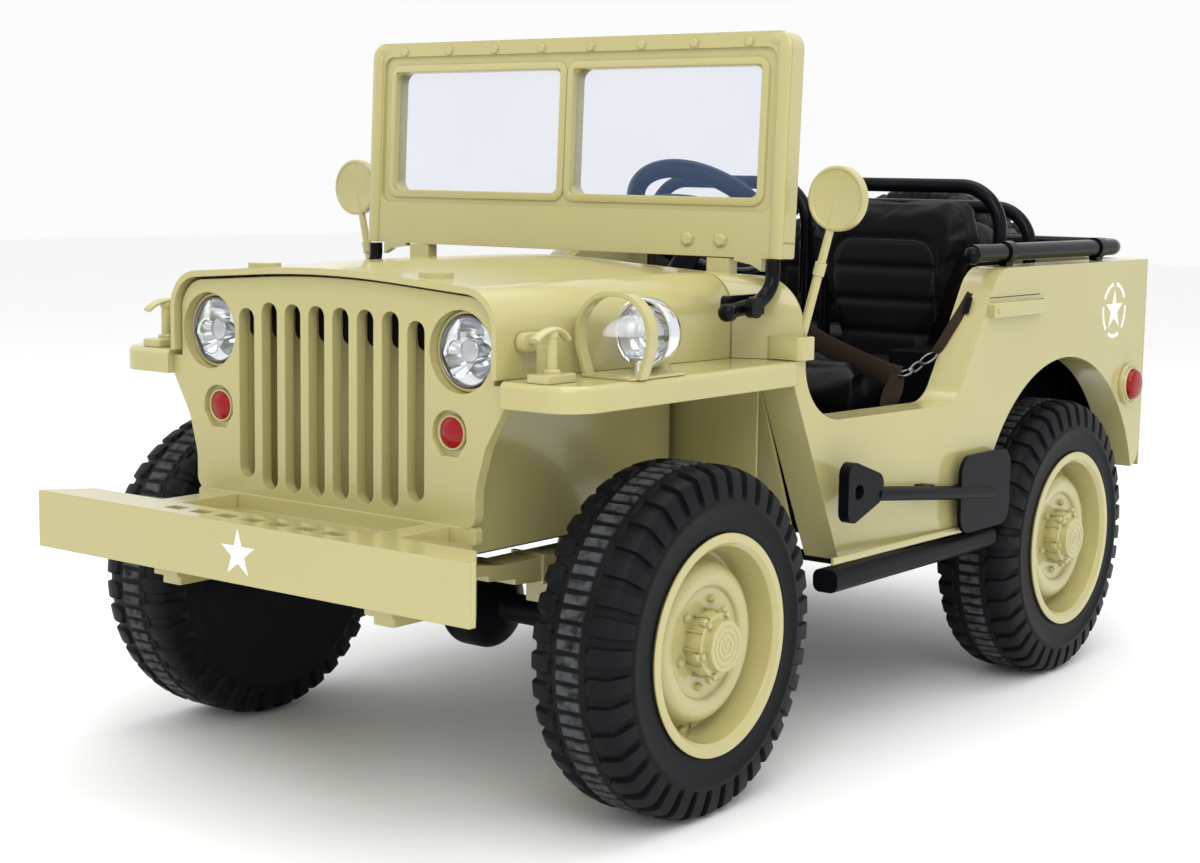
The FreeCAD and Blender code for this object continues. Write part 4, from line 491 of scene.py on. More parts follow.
class CarSizes(PropertyGroup):
    """Sizes of the details that are made here."""

    lugs: IntProperty(name="Shoulder lugs", description="Blocks round each shoulder of a tyre",
                      default=38, min=12, max=60)
    groove: FloatProperty(name="Tread depth", description="Depth of the tread's grooves",
                          default=5.0 * MILLI, min=0.0, max=0.02, subtype="DISTANCE",
                          unit="LENGTH")
    fill: FloatProperty(name="Seat pressure", description="Air pressure that swells the pads",
                        default=4.0, min=0.0, max=20.0)
    swell: FloatProperty(name="Seat swell", description="Furthest that a pad's cover moves",
                         default=9.0 * MILLI, min=0.0, max=0.03, subtype="DISTANCE",
                         unit="LENGTH")


class CAR_OT_finishes(Operator):
    """Makes the finishes and gives each CAD part its own"""

    bl_idname = "ride_on_car.finishes"
    bl_label = "Finishes"

    def execute(self, context):
        tone = context.scene.car_colours
        FINISHES.update({
            "sand_plastic": moulded_gloss("sand_plastic_finish", tone.sand),
            "black_plastic": moulded_grain("black_plastic_finish", tone.black, 0.36),
            "tyre_plastic": tyre_plastic("tyre_plastic_finish", tone.tyre),
            "clear_pane": hazy_pane("clear_pane_finish", (0.15, 0.26, 0.55, 1.0)),
            "visor": milky_visor("visor_finish", (0.8, 0.82, 0.84, 1.0)),
            "black_gloss": moulded_grain("black_gloss_finish", tone.black, 0.18, 700.0, 0.04,
                                         0.11),
            "lamp_cap": plated("lamp_cap_finish", (0.55, 0.56, 0.58, 1.0), 0.3),
            "lamp_lens": clear_plastic("lamp_lens_finish", (0.97, 0.99, 1.0, 1.0)),
            "red_lens": red_lens("red_lens_finish", tone.red),
            "seat_cover": seat_cloth("seat_cover_finish", tone.seat),
            "belt": webbing("belt_webbing_finish", tone.belt),
            "bowl": plated("plated_bowl_finish", (0.82, 0.83, 0.86, 1.0), 0.06),
            "hook": plated("plated_hook_finish", (0.17, 0.17, 0.18, 1.0), 0.25),
            "thread": moulded_grain("seat_thread_finish", (0.06, 0.06, 0.065), 0.6),
            "print": printed_film("white_print_finish", (0.86, 0.86, 0.85)),
            "spring": moulded_gloss("red_spring_finish", tone.red),
        })
        for part in frame["record"]["subparts"]:
            thing = frame["nodes"][part["node"]]
            thing.data.materials.clear()
            finish = "black_gloss" if part["node"] in GLOSS_NODES else part["material_slot"]
            thing.data.materials.append(FINISHES[finish])
        return {"FINISHED"}


# Tyres and wheels

def tread_height(u, x):
    """1 on a raised block and 0 in a groove. u is the share of one pitch, x runs across.

    Two short bars per pitch cover the middle. A tongue per pitch runs from each shoulder to a
    rounded tip beside the bars; the far side's tongues lie half a pitch on."""
    def plateau(value, low, high, soft):
        rise = np.clip((value - low) / soft, 0, 1)
        fall = np.clip((high - value) / soft, 0, 1)
        return np.minimum(rise, fall)

    half = (2 * u) % 1
    bars = plateau(half, 0.10, 0.84, 0.06) * plateau(np.abs(x), -1, 15.5, 1.4)
    side = np.where(x > 0, u, (u + 0.5) % 1)
    bend = side - 0.10 * np.clip((32 - np.abs(x)) / 10, 0, 1) ** 2
    share = np.abs(bend - 0.46) / 0.34
    tip = 22.5 + 6.0 * np.clip(share, 0, 1) ** 3
    tongue = plateau(bend, 0.12, 0.80, 0.035) * np.clip((np.abs(x) - tip) / 1.6, 0, 1)
    return np.maximum(bars, tongue), bars


def tyre_shape(lugs, groove):
    """Profile points (across, radius) x angles. The tread sinks by the groove depth along the
    profile's normal wherever tread_height is 0."""
    mark = np.array([0, 0.03, 0.06, 0.09, 0.12, 0.16, 0.22, 0.29, 0.36, 0.40, 0.43, 0.47,
                     0.50, 0.53, 0.56, 0.59, 0.64, 0.70, 0.76, 0.80, 0.84, 0.88, 0.92, 0.96])
    turn = (np.arange(lugs)[:, None] + mark[None]).ravel() / lugs
    u = np.tile(mark, lugs)
    profile = [(-51, 12.3), (-55.5, 118), (-57.4, 123), (-57.9, 132), (-58, 150), (-59.2, 152),
               (-59.2, 157), (-58, 159)]
    tread = [(-58, 162), (-57.2, 168), (-55.4, 176), (-53.4, 184), (-51, 188.6), (-47, 191),
             (-42, 193), (-36, 194.5), (-32, 194.8), (-29, 195), (-27, 195), (-25, 195),
             (-23.2, 195), (-21, 195), (-17.2, 195), (-15.4, 195), (-13.6, 195), (-6, 195)]
    tread = tread + [(-x, r) for x, r in tread[::-1]]
    outer = [(-x, r) for x, r in profile[:1:-1]]
    profile = profile + tread + outer + [(55.4, 120.5), (52, 117.7), (-42, 104), (-43, 12.3)]
    profile = np.array(profile)
    normal = np.gradient(profile, axis=0)
    normal = np.stack([-normal[:, 1], normal[:, 0]], 1)
    normal /= np.linalg.norm(normal, axis=1, keepdims=True)
    across = np.repeat(profile[:, :1], len(u), 1)
    raised, worn = tread_height(np.broadcast_to(u, across.shape), across)
    radius = profile[:, 1:]
    on_tread = np.clip((radius - 160.5) / 2.5, 0, 1) * (radius > 150)
    drop = (1 - raised) * on_tread * groove / MILLI
    drop = drop * np.where(np.abs(across) < 22, 0.55, 1.0)
    rad = radius + normal[:, 1:] * drop * np.where(normal[:, 1:] < 0, 1, -1)
    wide = across - np.sign(across) * np.abs(normal[:, :1]) * drop
    angle = turn * 2 * math.pi
    points = np.stack([wide, rad * np.cos(angle), rad * np.sin(angle)], -1) * MILLI
    # The second value marks the middle bars' tops for the painted highlight and scuffs.
    return points, worn * on_tread


def wheel_place(node):
    """The turn that points local +X out of the car at that wheel, and the wheel's centre."""
    centre = middle_of(node)
    if "spare" in node:
        return spin_turn("Z", math.pi / 2), centre
    return spin_turn("Z", 0 if centre[0] > 0 else math.pi), centre


class CAR_OT_tyres(Operator):
    """Makes the treaded tyres"""

    bl_idname = "ride_on_car.tyres"
    bl_label = "Tyres"

    def execute(self, context):
        sizes = context.scene.car_sizes
        points, worn = tyre_shape(sizes.lugs, sizes.groove)
        for node in ["tyre_" + name for name in WHEELS] + ["spare_tyre"]:
            turn, centre = wheel_place(node)
            placed = points @ turn.T + centre
            shape = Shape().grid(placed, wrap_rows=True, wrap_columns=True)
            body = "car" if "spare" in node else "wheel_" + node[5:]
            mesh = bpy.data.meshes.new(node + "_tread")
            mesh.from_pydata(np.concatenate(shape.points).tolist(), [], shape.faces)
            # The bar-top mask for the painted highlight and scuffs goes into the tyre's finish.
            wear_and_highlight = mesh.attributes.new("wear_and_highlight", "FLOAT", "POINT")
            wear_and_highlight.data.foreach_set("value", worn.astype(np.float32).ravel())
            cleaned(mesh)
            dressed(linked(node + "_tread", mesh), "tyre_plastic", 40, replaces=[node],
                    body=body)
        return {"FINISHED"}


def wheel_fittings():
    """Nuts, bolts and ribs of one wheel about its own X axis, in metres."""
    shape = Shape()
    out = np.array(((0, 0, 1), (1, 0, 0), (0, 1, 0)), float)

    # count, radius of their circle, first angle, sides, size, base, height, bevel
    for count, radius, start, sides, size, base, height, edge in (
            (6, 48.5, 0.3, 6, 4.6, 35.8, 5.5, 0.18), (6, 48.5, 0.3, 12, 2.2, 41.0, 2.0, 0.18),
            (6, 34.4, 0.2, 6, 4.2, 57.8, 3.6, 0.18), (6, 38.6, 0.2, 10, 4.6, 50.5, 7.0, 0.18),
            (6, 99.5, 0.62, 16, 3.6, 14.8, 3.4, 0.35),
            (2, 101.0, 1.45, 18, 6.2, 14.6, 7.0, 0.25)):
        for angle in start + np.linspace(0, 2 * math.pi, count, endpoint=False):
            centre = (base * MILLI, radius * math.cos(angle) * MILLI,
                      radius * math.sin(angle) * MILLI)
            shape.prism(ring_of(sides, size * MILLI, angle), centre, out, height * MILLI, edge)
    for radius in (22, 15, 8):
        shape.turned(np.array([(66.7, radius + 1.2), (67.7, radius + 0.6), (67.7, radius - 0.6),
                               (66.7, radius - 1.2)]) * MILLI, (0, 0, 0), "X", 48, closed=True)
    shape.turned(np.array([(66.8, 3.4), (68.0, 2.6), (68.0, 0.2)]) * MILLI, (0, 0, 0), "X", 24)
    for angle in np.linspace(0, 2 * math.pi, 12, endpoint=False):
        rib = spin_turn("X", angle)
        block = np.array([(36.2, 37.0), (57.0, 37.0), (57.0, 39.2), (36.2, 39.2)]) * MILLI
        corners = np.array([[x, s * 1.1 * MILLI, z] for s in (-1, 1) for x, z in block])
        shape.add(corners @ rib.T, [(0, 1, 2, 3), (7, 6, 5, 4), (0, 4, 5, 1), (1, 5, 6, 2),
                                    (2, 6, 7, 3), (3, 7, 4, 0)])
    return shape


class CAR_OT_wheel_fittings(Operator):
    """Makes the nuts, bolts and hub details of the wheels"""

    bl_idname = "ride_on_car.wheel_fittings"
    bl_label = "Wheel Fittings"

    def execute(self, context):
        for name in WHEELS:
            turn, centre = wheel_place("tyre_" + name)
            shape = wheel_fittings().moved(turn, centre)
            piece("hub_fittings_" + name, shape, "sand_plastic", 30, body="wheel_" + name)
        return {"FINISHED"}


# Seats

STIFFNESS = 18
SWELL_FRAMES = 18


def padded_copy(node, name, settings, shrink, voxel=5.5 * MILLI):
    """The node's solid, drawn in a little, remeshed, swollen by cloth pressure and smoothed."""
    source = frame["nodes"][node]
    mesh = source.data.copy()
    mesh.name = name
    cleaned(mesh, 1e-5)
    thing = linked(name, mesh)
    bpy.ops.object.select_all(action="DESELECT")
    bpy.context.view_layer.objects.active = thing
    thing.select_set(True)
    remesh = thing.modifiers.new("even", "REMESH")
    remesh.mode = "VOXEL"
    remesh.voxel_size = voxel
    soften = thing.modifiers.new("soften", "SMOOTH")
    soften.iterations = 6
    bpy.ops.object.modifier_apply(modifier="even")
    bpy.ops.object.modifier_apply(modifier="soften")
    co = read_points(thing.data)
    normals = read_normals(thing.data)
    co = co - normals * shrink
    thing.data.vertices.foreach_set("co", co.ravel())
    start = co.copy()
    cloth = thing.modifiers.new("swell", "CLOTH")
    cloth.settings.use_pressure = True
    cloth.settings.uniform_pressure_force = settings.fill
    cloth.settings.tension_stiffness = STIFFNESS
    cloth.settings.compression_stiffness = STIFFNESS
    cloth.settings.effector_weights.gravity = 0.0
    for number in range(1, SWELL_FRAMES + 1):
        bpy.context.scene.frame_set(number)
    bpy.ops.object.modifier_apply(modifier="swell")
    bpy.context.scene.frame_set(1)
    co = read_points(thing.data)
    move = co - start
    reach = np.linalg.norm(move, axis=1, keepdims=True)
    co = start + move * np.minimum(1, settings.swell / np.maximum(reach, 1e-9))
    thing.data.vertices.foreach_set("co", co.ravel())
    thing.data.update()
    return thing


def read_points(mesh):
    co = np.zeros(len(mesh.vertices) * 3, np.float32)
    mesh.vertices.foreach_get("co", co)
    return co.reshape(-1, 3).astype(float)


def read_normals(mesh):
    normals = np.zeros(len(mesh.vertices) * 3, np.float32)
    mesh.vertex_normals.foreach_get("vector", normals)
    return normals.reshape(-1, 3).astype(float)


def outline_distance(x, z, half_width, low, high, radius):
    """Signed distance to a rounded rectangle, positive outside."""
    middle = (low + high) / 2
    qx = np.abs(x) - (half_width - radius)
    qz = np.abs(z - middle) - ((high - low) / 2 - radius)
    outside = np.hypot(np.maximum(qx, 0), np.maximum(qz, 0))
    return outside + np.minimum(np.maximum(qx, qz), 0) - radius


def press(thing, amount):
    """Sinks the cover along its normals by the given depths."""
    co = read_points(thing.data) - read_normals(thing.data) * amount[:, None]
    thing.data.vertices.foreach_set("co", co.ravel())
    thing.data.update()


def crease(distance, width):
    """1 on a line and falling off like a bell beside it."""
    return np.exp(-(distance / width) ** 2)


def channels(values, places, width, inside):
    """How far pressed lines at those places count, only inside the panel."""
    rows = np.zeros(len(values))
    for place in places:
        rows = np.maximum(rows, crease(values - place, width) * inside)
    return rows


def covered(thing, node):
    """Gives a pad its cover and a finer mesh."""
    dressed(thing, "seat_cover", 0, replaces=[node])
    thing.data.shade_smooth()
    finer = thing.modifiers.new("finer", "SUBSURF")
    finer.levels = 1
    finer.render_levels = 1


def stitches(name, thing, routes, toward, pitch=5.5 * MILLI):
    """Short raised threads laid on the cover along routes, found by rays towards it."""
    tree = BVHTree.FromPolygons([v.co for v in thing.data.vertices],
                                [list(p.vertices) for p in thing.data.polygons])
    shape = Shape()
    push = Vector(toward)
    for route in routes:
        steps = np.linalg.norm(np.diff(route, axis=0), axis=1)
        length = np.concatenate([[0], np.cumsum(steps)])
        for start in np.arange(0, length[-1] - pitch, pitch):
            ends = []
            for at in (start, start + pitch * 0.62):
                spot = Vector([float(np.interp(at, length, route[:, k])) for k in range(3)])
                hit = tree.ray_cast(spot - push * 0.2, push)[0]
                if hit is not None:
                    ends.append(np.array(hit) - np.array(push) * 0.3 * MILLI)
            if len(ends) == 2 and np.linalg.norm(ends[1] - ends[0]) < pitch:
                middle = (ends[0] + ends[1]) / 2 - np.array(push) * 0.5 * MILLI
                shape.swept(ring_of(5, 0.55 * MILLI), np.array([ends[0], middle, ends[1]]), toward)
    if shape.count:
        piece(name, shape, "thread", 60)


class CAR_OT_front_seats(Operator):
    """Makes the padded front seats"""

    bl_idname = "ride_on_car.front_seats"
    bl_label = "Front Seats"

    def execute(self, context):
        settings = context.scene.car_sizes
        track = 0.159
        thing = padded_copy("front_seat_backs", "front_seat_back_pads", settings, 6 * MILLI)
        low, high = box_of("front_seat_backs")
        co, normals = read_points(thing.data), read_normals(thing.data)
        x, z = np.abs(co[:, 0]) - track, co[:, 2]
        front = np.clip(-normals[:, 1] * 3 - 0.6, 0, 1)
        panel = outline_distance(x, z, 0.083, 0.36, 0.615, 0.034)
        rows = channels(z, (0.573, 0.527, 0.481, 0.435), 4.5 * MILLI, panel < -2 * MILLI)
        seam = crease(panel, 3.6 * MILLI)
        gather = crease(np.abs(x) - 0.112, 7 * MILLI) * (z > 0.42)
        press(thing, front * (seam * 3.6 + rows * 3.4 + gather * 1.5) * MILLI)
        covered(thing, "front_seat_backs")
        routes = []
        for side in (track, -track):
            line = rounded_box(0.080, 0.1245, 0.032, 7)
            line = np.concatenate([line, line[:1]])
            routes.append(np.column_stack([line[:, 0] + side, np.full(len(line), low[1]),
                                           line[:, 1] + 0.4875]))
        stitches("front_seat_stitches", thing, routes, (0, 1, 0))

        thing = padded_copy("front_seat_cushions", "front_seat_cushion_pads", settings, 6 * MILLI)
        low, high = box_of("front_seat_cushions")
        co, normals = read_points(thing.data), read_normals(thing.data)
        x = np.abs(co[:, 0]) - track
        top = np.clip(normals[:, 2] * 3 - 0.6, 0, 1)
        panel = outline_distance(x, co[:, 1], 0.066, low[1] + 0.03, high[1] - 0.02, 0.03)
        lines = [low[1] + (high[1] - low[1]) * share for share in (0.3, 0.5, 0.7)]
        rows = channels(co[:, 1], lines, 4.5 * MILLI, panel < -2 * MILLI)
        press(thing, top * (crease(panel, 3.6 * MILLI) * 3.2 + rows * 3.0) * MILLI)
        covered(thing, "front_seat_cushions")
        return {"FINISHED"}


class CAR_OT_bench(Operator):
    """Makes the padded rear bench"""

    bl_idname = "ride_on_car.bench"
    bl_label = "Rear Bench"

    def execute(self, context):
        settings = context.scene.car_sizes
        for node, faces_up in (("rear_seat_back", False), ("rear_seat_cushion", True)):
            thing = padded_copy(node, node + "_pad", settings, 5 * MILLI, 6.5 * MILLI)
            low, high = box_of(node)
            co, normals = read_points(thing.data), read_normals(thing.data)
            up = 1 if faces_up else 2
            outward = normals[:, 2] if faces_up else -normals[:, 1]
            faced = np.clip(outward * 3 - 0.6, 0, 1)
            half = (high[0] - low[0]) / 2
            panel = outline_distance(co[:, 0], co[:, up], half - 0.032, low[up] + 0.03,
                                     high[up] - 0.032, 0.03)
            lines = [low[up] + (high[up] - low[up]) * share for share in (0.35, 0.6)]
            rows = channels(co[:, up], lines, 5 * MILLI, panel < -0.002)
            press(thing, faced * (crease(panel, 4 * MILLI) * 3 + rows * 3) * MILLI)
            covered(thing, node)
        return {"FINISHED"}


# Prints

def star_outline(radius, count=5):
    """Corners of a star: outer and inner radii in turn, the inner at 0.382 of the outer."""
    angle = math.pi / 2 + np.arange(count * 2) * math.pi / count
    size = np.where(np.arange(count * 2) % 2 == 0, radius, radius * 0.382)
    return np.column_stack([np.cos(angle) * size, np.sin(angle) * size])


class CAR_OT_prints(Operator):
    """Makes the plain star prints"""

    bl_idname = "ride_on_car.prints"
    bl_label = "Star Prints"

    def execute(self, context):
        film = 0.35 * MILLI
        low, high = box_of("front_bumper")
        centre = (0.004, low[1], (low[2] + high[2]) / 2)
        star = Shape().prism(star_outline(27 * MILLI), centre, FACES_FRONT, film)
        piece("bumper_star", star, "print", 30)
        for name, sign in SIDES:
            turn = outwards(sign)
            centre = (sign * SIDE_FACE, FRONT_AXLE + 1.037, 0.511)
            shape = Shape().prism(star_outline(30.5 * MILLI), centre, turn, film)
            for number in range(5):
                angle = math.pi / 2 + number * 2 * math.pi / 5
                arc = np.linspace(angle + 0.16, angle + 2 * math.pi / 5 - 0.16, 14)
                arc = np.column_stack([np.cos(arc), np.sin(arc)])
                rim = np.concatenate([arc * 41 * MILLI, arc[::-1] * 35.5 * MILLI])
                shape.prism(rim, centre, turn, film)
            piece("side_star_" + name, shape, "print", 30)
        return {"FINISHED"}


# Lamps

def dome(radius, rise, base=0.0, steps=9):
    """A profile from the axis outwards: the height falls with the square of the radius."""
    share = np.linspace(0.01, 1, steps)
    return np.column_stack([base + rise * (1 - share ** 2), share * radius])


def dome_shell(radius, rise, wall, base=0.0):
    """Profile of a thin domed lens, out along its face and back along its inner side."""
    outer = dome(radius, rise, base)
    inner = dome(radius, rise, base - wall)[::-1]
    return np.concatenate([outer, inner])


def petal_bowl(radius, depth, reach, spread):
    """Points of a plated bowl made of three smaller bowls round the middle.

    Each small bowl is a paraboloid whose depth falls with the square of the distance from its
    own middle, and where they meet the deepest counts, which leaves a ridge between them."""
    share = np.concatenate([np.linspace(0.02, 1, 26), [1.0, 0.02]])[:, None]
    angle = np.linspace(0, 2 * math.pi, 96, endpoint=False)[None]
    x, y = share * np.cos(angle) * radius, share * np.sin(angle) * radius
    height = np.zeros_like(x)
    for number in range(3):
        turn = math.pi / 2 + number * 2 * math.pi / 3
        gone = ((x - math.cos(turn) * reach) ** 2 + (y - math.sin(turn) * reach) ** 2)
        height = np.minimum(height, depth * (gone / spread ** 2 - 1))
    height[-2:] = -depth - 2
    return np.stack([x, y, height], -1)


class CAR_OT_headlamps(Operator):
    """Makes the headlamps with their plated bowls and clear lenses"""

    bl_idname = "ride_on_car.headlamps"
    bl_label = "Headlamps"

    def execute(self, context):
        low = box_of("headlamps")[0]
        for name, sign in SIDES:
            centre = np.array((sign * 0.195, low[1] + 6 * MILLI, 0.512))
            seat = lathe([(-33, 43.4), (-1.5, 43.4), (-0.5, 42.4), (-0.5, 40), (-4, 38.6),
                          (-33, 38.6)], closed=True)
            rim = lathe([(-3, 38.5), (0.4, 38.5), (1.2, 37.8), (1.2, 36.8), (0.4, 36.0),
                         (-3, 36.0)], closed=True)
            lens = lathe(dome_shell(36.2, 5.6, 1.2))
            bowl = Shape().grid(petal_bowl(36.0, 22, 17.5, 20) * MILLI, wrap_columns=True,
                                caps=True)
            cap = lathe(np.concatenate([dome(11.5, 1.6, -2.4),
                                        [(-3.4, 12.6), (-4.4, 13), (-20, 13)]]), 48)
            for number in range(3):
                turn = math.pi / 2 + number * 2 * math.pi / 3
                cap.turned(np.concatenate([dome(3.4, 3.4, -17), [(-25, 3.4)]]) * MILLI,
                           (math.cos(turn) * 0.0185, math.sin(turn) * 0.0185, 0), "Z", 20)
            for part, shape, finish, smooth, back in (
                    ("seat", seat, "sand_plastic", 35, 0), ("rim", rim, "hook", 35, 0),
                    ("lens", lens, "lamp_lens", 60, 0), ("bowl", bowl, "bowl", 50, 3 * MILLI),
                    ("cap", cap, "lamp_cap", 40, 0)):
                piece("headlamp_%s_%s" % (part, name),
                      shape.moved(FACES_FRONT, centre + (0, back, 0)), finish, smooth,
                      replaces=["headlamps"])
        return {"FINISHED"}


class CAR_OT_small_lamps(Operator):
    """Makes the marker and side lamps: a ring and a domed red lens each"""

    bl_idname = "ride_on_car.small_lamps"
    bl_label = "Small Lamps"

    def execute(self, context):
        low, high = box_of("marker_lamps")
        side_low, side_high = box_of("side_lamps")
        side_middle = (side_low + side_high) / 2
        for name, sign in SIDES:
            centre = (sign * (high[0] - 19.5 * MILLI), high[1], (low[2] + high[2]) / 2)
            ring = lathe([(0, 19.4), (3.0, 19.4), (4.2, 18.6), (4.4, 17.6), (3.6, 16.6),
                          (0, 16.6)], 48, closed=True)
            piece("marker_ring_" + name, ring.moved(FACES_FRONT, centre), "sand_plastic",
                  replaces=["marker_lamps"])
            lens = lathe(np.concatenate([dome(14.5, 3.0, 4.0), [(3.0, 16.2), (0, 16.5)]]), 48)
            piece("marker_lens_" + name, lens.moved(FACES_FRONT, centre), "red_lens",
                  replaces=["marker_lamps"])
            centre = (sign * (side_high[0] - 19 * MILLI), side_middle[1], side_middle[2])
            ring = lathe([(0, 30.9), (5.0, 30.9), (6.6, 30.0), (6.6, 28.0), (5.4, 27.0),
                          (5.4, 25.6), (8.0, 25.0), (8.8, 24.2), (8.8, 23.0), (7.4, 22.3),
                          (0, 22.3)], closed=True)
            piece("side_lamp_ring_" + name, ring.moved(outwards(sign), centre), "sand_plastic",
                  replaces=["side_lamps"])
            lens = lathe(np.concatenate([dome(17.5, 1.6, 17.2),
                                         [(16.0, 20.0), (13.6, 21.6), (0, 22.1)]]))
            piece("side_lamp_lens_" + name, lens.moved(outwards(sign), centre), "red_lens",
                  replaces=["side_lamps"])
        return {"FINISHED"}


def half_hood(width, height, reach, base, wall):
    """Points of a hood shaped as a quarter of an ellipsoid, as an outer and an inner sheet.

    Across is the cosine and up the sine of one angle, both shrinking with the cosine of the
    other, whose sine gives the reach ahead of the base."""
    around = np.linspace(0, math.pi, 28)[None]
    ahead = np.linspace(0, math.pi / 2 * 0.985, 14)[:, None]
    sheets = []
    for less in (0, wall):
        sheets.append(np.stack([
            (width - less) * np.cos(around) * np.cos(ahead),
            (height - less) * np.sin(around) * np.cos(ahead),
            base + (reach - less) * np.sin(ahead) + 0 * around], -1))
    return sheets


class CAR_OT_spotlight(Operator):
    """Makes the plated spotlight with its clear lens and visor"""

    bl_idname = "ride_on_car.spotlight"
    bl_label = "Spotlight"

    def execute(self, context):
        low, high = box_of("spotlight")
        centre = np.array(((low[0] + high[0]) / 2, (low[1] + high[1]) / 2, high[2] - 39 * MILLI))
        foot = (low[2] - centre[2], 0)
        back = np.linspace(0.02, math.pi / 2, 16)
        shell = np.column_stack([14 - 36 * np.cos(back), 39 * np.sin(back)])
        share = np.linspace(1, 0.01, 18)
        inside = np.column_stack([-13 + 31 * share ** 2 + 0.7 * np.cos(share * 26), 33.6 * share])
        rim = [(18.5, 39), (20.8, 38.6), (21.8, 37.4), (21.8, 35.8), (20.6, 34.6)]
        body = lathe(np.concatenate([shell, rim, inside]), 72).moved(FACES_FRONT, centre)
        body.turned(np.array([(0, 10.5), (2, 10.5), (3, 8.6), (8, 8.2), (13, 8.2), (17, 12)])
                    * MILLI + foot, centre + (-0.006, -0.017, 0), "Z", 40)
        piece("spotlight_shell", body, "bowl", 40, replaces=["spotlight"])
        stand = Shape().turned(np.array([(0, 17), (5, 16.4), (7, 14), (13, 11), (17, 10)])
                               * MILLI + foot, centre + (0.002, 0.004, 0), "Z", 40)
        stand.prism(rounded_box(0.034, 0.050, 0.005),
                    (centre[0] + 0.003, centre[1] - 0.040, low[2]), UPRIGHT, 0.0028, 0.02)
        piece("spotlight_stand", stand, "sand_plastic", 40, replaces=["spotlight"])
        bulb = lathe(np.concatenate([dome(6.5, 7, -6), [(-14, 6.5)]]), 32)
        piece("spotlight_bulb", bulb.moved(FACES_FRONT, centre), "lamp_cap", 40,
              replaces=["spotlight"])
        lens = lathe(dome_shell(34.4, 1.8, 1.2, 19.6))
        piece("spotlight_lens", lens.moved(FACES_FRONT, centre), "lamp_lens", 60,
              replaces=["spotlight"])
        outer, inner = (sheet * MILLI for sheet in half_hood(29, 22, 64, 18, 1.2))
        piece("spotlight_visor", Shape().sheet(outer, inner).moved(FACES_FRONT, centre),
              "visor", 50)
        return {"FINISHED"}


# Windshield, latches and trim

SCREEN_LEAN = math.radians(2.4)
SCREEN_FOOT = (-0.254, 0.603)
SCREEN_TURN = spin_turn("X", -SCREEN_LEAN)


def screen_place(points):
    """Row places of points given as (across, thickness, height) on the leaning windshield."""
    x, y, z = np.asarray(points, float).T * MILLI
    foot_y, foot_z = SCREEN_FOOT
    return np.column_stack([x, foot_y + y * math.cos(SCREEN_LEAN) + z * math.sin(SCREEN_LEAN),
                            foot_z - y * math.sin(SCREEN_LEAN) + z * math.cos(SCREEN_LEAN)])


def screen_loop(line, depth):
    """A flat outline of (across, height) set at one depth of the windshield."""
    return screen_place(np.column_stack([line[:, 0], np.full(len(line), depth), line[:, 1]]))


